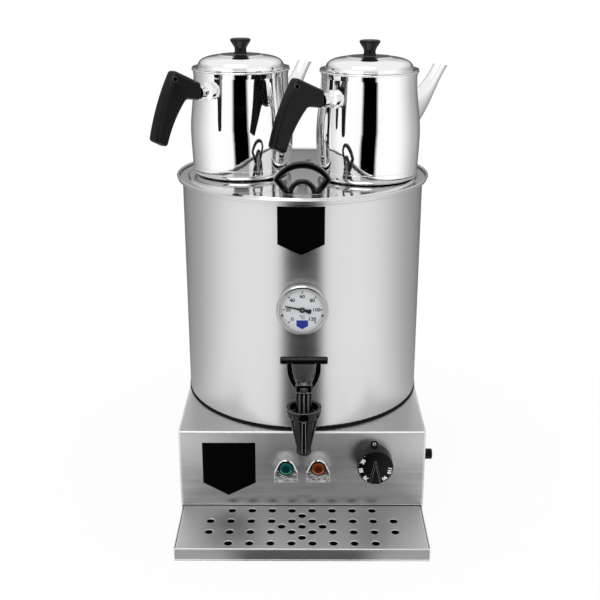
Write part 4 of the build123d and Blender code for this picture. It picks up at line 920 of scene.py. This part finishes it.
# ---------------------------------------------------------------------------------------------
# Teapots
# Spun stainless pots polished to a mirror, with a drawn spout welded on, a turned ferrule and a
# moulded satin grip; the lids carry a waisted knob of the same plastic.
# ---------------------------------------------------------------------------------------------
wear("pot_steel", polished_steel(
    "pot_mirror", grey(0.82), roughness=0.035, waviness=0.03, edge=0.0004
))
# Painted highlight: the grips' sharp edges are taken to a faint grey.
wear("grip_plastic", moulded_plastic(
    "grip_satin", pigment_black, roughness=0.22, speckle=0.10, gloss=0.17, edge=0.0008,
    rubbed=0.16, edge_shading_width=0.0009,
))


# ---------------------------------------------------------------------------------------------
# Studio
# A pale surround with a dark gap behind the camera, a white floor that keeps the contact shadow,
# one soft lamp overhead and the camera, a little above the lid and level with the middle.
# ---------------------------------------------------------------------------------------------
def make_surround():
    """Brightness of the room by direction: dark behind the camera, white panels beside it."""
    tree, given, made = group_tree(
        "studio_surround", [("Direction", "Vector", None)], [("Level", "Float")]
    )
    parts = add_node(tree, "ShaderNodeSeparateXYZ", Vector=given["Direction"]).outputs
    side = reckon(tree, "ABSOLUTE", parts["X"])["Value"]
    front = reckon(tree, "MULTIPLY", parts["Y"], -1.0)["Value"]
    bearing = reckon(tree, "ARCTAN2", side, front)["Value"]
    share = reckon(tree, "DIVIDE", bearing, pi)["Value"]
    ramp = add_node(tree, "ShaderNodeValToRGB", Fac=share)
    stops = ramp.color_ramp.elements
    stops[0].position, stops[0].color = 0.078, grey(0.0)
    stops[1].position, stops[1].color = 0.112, grey(0.95)
    for bearing_share, brightness in (
        (0.30, 1.0), (0.40, 0.92), (0.50, 0.70), (0.60, 0.48),
        (0.72, 0.34), (0.80, 0.22), (0.88, 0.10), (1.0, 0.10),
    ):
        stops.new(bearing_share).color = grey(brightness)
    rise = ease(tree, parts["Z"], 0.08, 0.32, high=0.55)
    wall = reckon(tree, "MAXIMUM", ramp.outputs["Color"], rise)["Value"]
    over = ease(tree, parts["Z"], 0.30, 0.62)
    plug(tree, made["Level"], blend(tree, over, wall, 0.85, "FLOAT", "Float"))
    return tree


def surround_seen(tree, direction):
    """The surround's brightness in a direction."""
    group = add_node(tree, "ShaderNodeGroup", {"node_tree": surround}, Direction=direction)
    return group.outputs["Level"]


surround = make_surround()
surround_strength = 1.25

world = bpy.data.worlds.new("studio")
world.use_nodes = True
bpy.context.scene.world = world
room = world.node_tree
room.nodes.clear()
heading = room.nodes.new("ShaderNodeTexCoord").outputs["Generated"]
lit = add_node(
    room, "ShaderNodeBackground", Color=surround_seen(room, heading), Strength=surround_strength
)
backdrop = add_node(room, "ShaderNodeBackground", Color=grey(1.0), Strength=1.0)
ray = room.nodes.new("ShaderNodeLightPath").outputs
around = choose(
    room, ray["Is Camera Ray"], lit.outputs["Background"], backdrop.outputs["Background"]
)
add_node(room, "ShaderNodeOutputWorld", Surface=around)

floor_half = 6
floor_signs = ((-1, -1), (1, -1), (1, 1), (-1, 1))
floor_corners = [(x * floor_half, y * floor_half, 0) for x, y in floor_signs]
floor_mesh = bpy.data.meshes.new("studio_floor")
floor_mesh.from_pydata(floor_corners, [], [(0, 1, 2, 3)])
floor = bpy.data.objects.new("studio_floor", floor_mesh)
bpy.context.scene.collection.objects.link(floor)

paper = bpy.data.materials.new("studio_paper")
paper.use_nodes = True
sheet = paper.node_tree
sheet.nodes.clear()
matt = add_node(sheet, "ShaderNodeBsdfDiffuse", Color=grey(0.75)).outputs["BSDF"]
white = add_node(sheet, "ShaderNodeEmission", Color=grey(1.0), Strength=1.0).outputs["Emission"]
where = object_place(sheet)
far = reckon(sheet, "LENGTH", where, kind="ShaderNodeVectorMath")["Value"]
fade_start, fade_end, least_white = 0.2, 0.6, 0.92
shaded = choose(sheet, ease(sheet, far, fade_start, fade_end, least_white), matt, white)
mirrored = add_node(
    sheet, "ShaderNodeEmission", Color=surround_seen(sheet, where), Strength=surround_strength
).outputs["Emission"]
ray = sheet.nodes.new("ShaderNodeLightPath").outputs
direct = choose(sheet, ray["Is Camera Ray"], matt, shaded)
add_node(
    sheet, "ShaderNodeOutputMaterial", Surface=choose(sheet, ray["Is Glossy Ray"], direct, mirrored)
)
floor_mesh.materials.append(paper)

softbox_target = Vector((0.0, 0.0, 0.25))
lamp_data = bpy.data.lights.new("softbox", "AREA")
lamp_data.shape = "RECTANGLE"
lamp_data.size = 1.3
lamp_data.size_y = 0.9
lamp_data.energy = 10.0
softbox = bpy.data.objects.new("softbox", lamp_data)
bpy.context.scene.collection.objects.link(softbox)
softbox.location = (-0.35, -0.75, 2.0)
softbox.rotation_euler = (softbox_target - softbox.location).to_track_quat("-Z", "Y").to_euler()

camera_dip = 19.488
camera_heading = 0.0038
camera_data = bpy.data.cameras.new("camera")
camera_data.lens = 59.12
camera_data.sensor_width = 36.0
camera = bpy.data.objects.new("camera", camera_data)
bpy.context.scene.collection.objects.link(camera)
camera.location = (0.00145, -1.2235, 0.6646)
camera.rotation_euler = (radians(90.0 - camera_dip), 0.0, camera_heading)
bpy.context.scene.camera = camera
bpy.context.scene.view_settings.view_transform = "Standard"
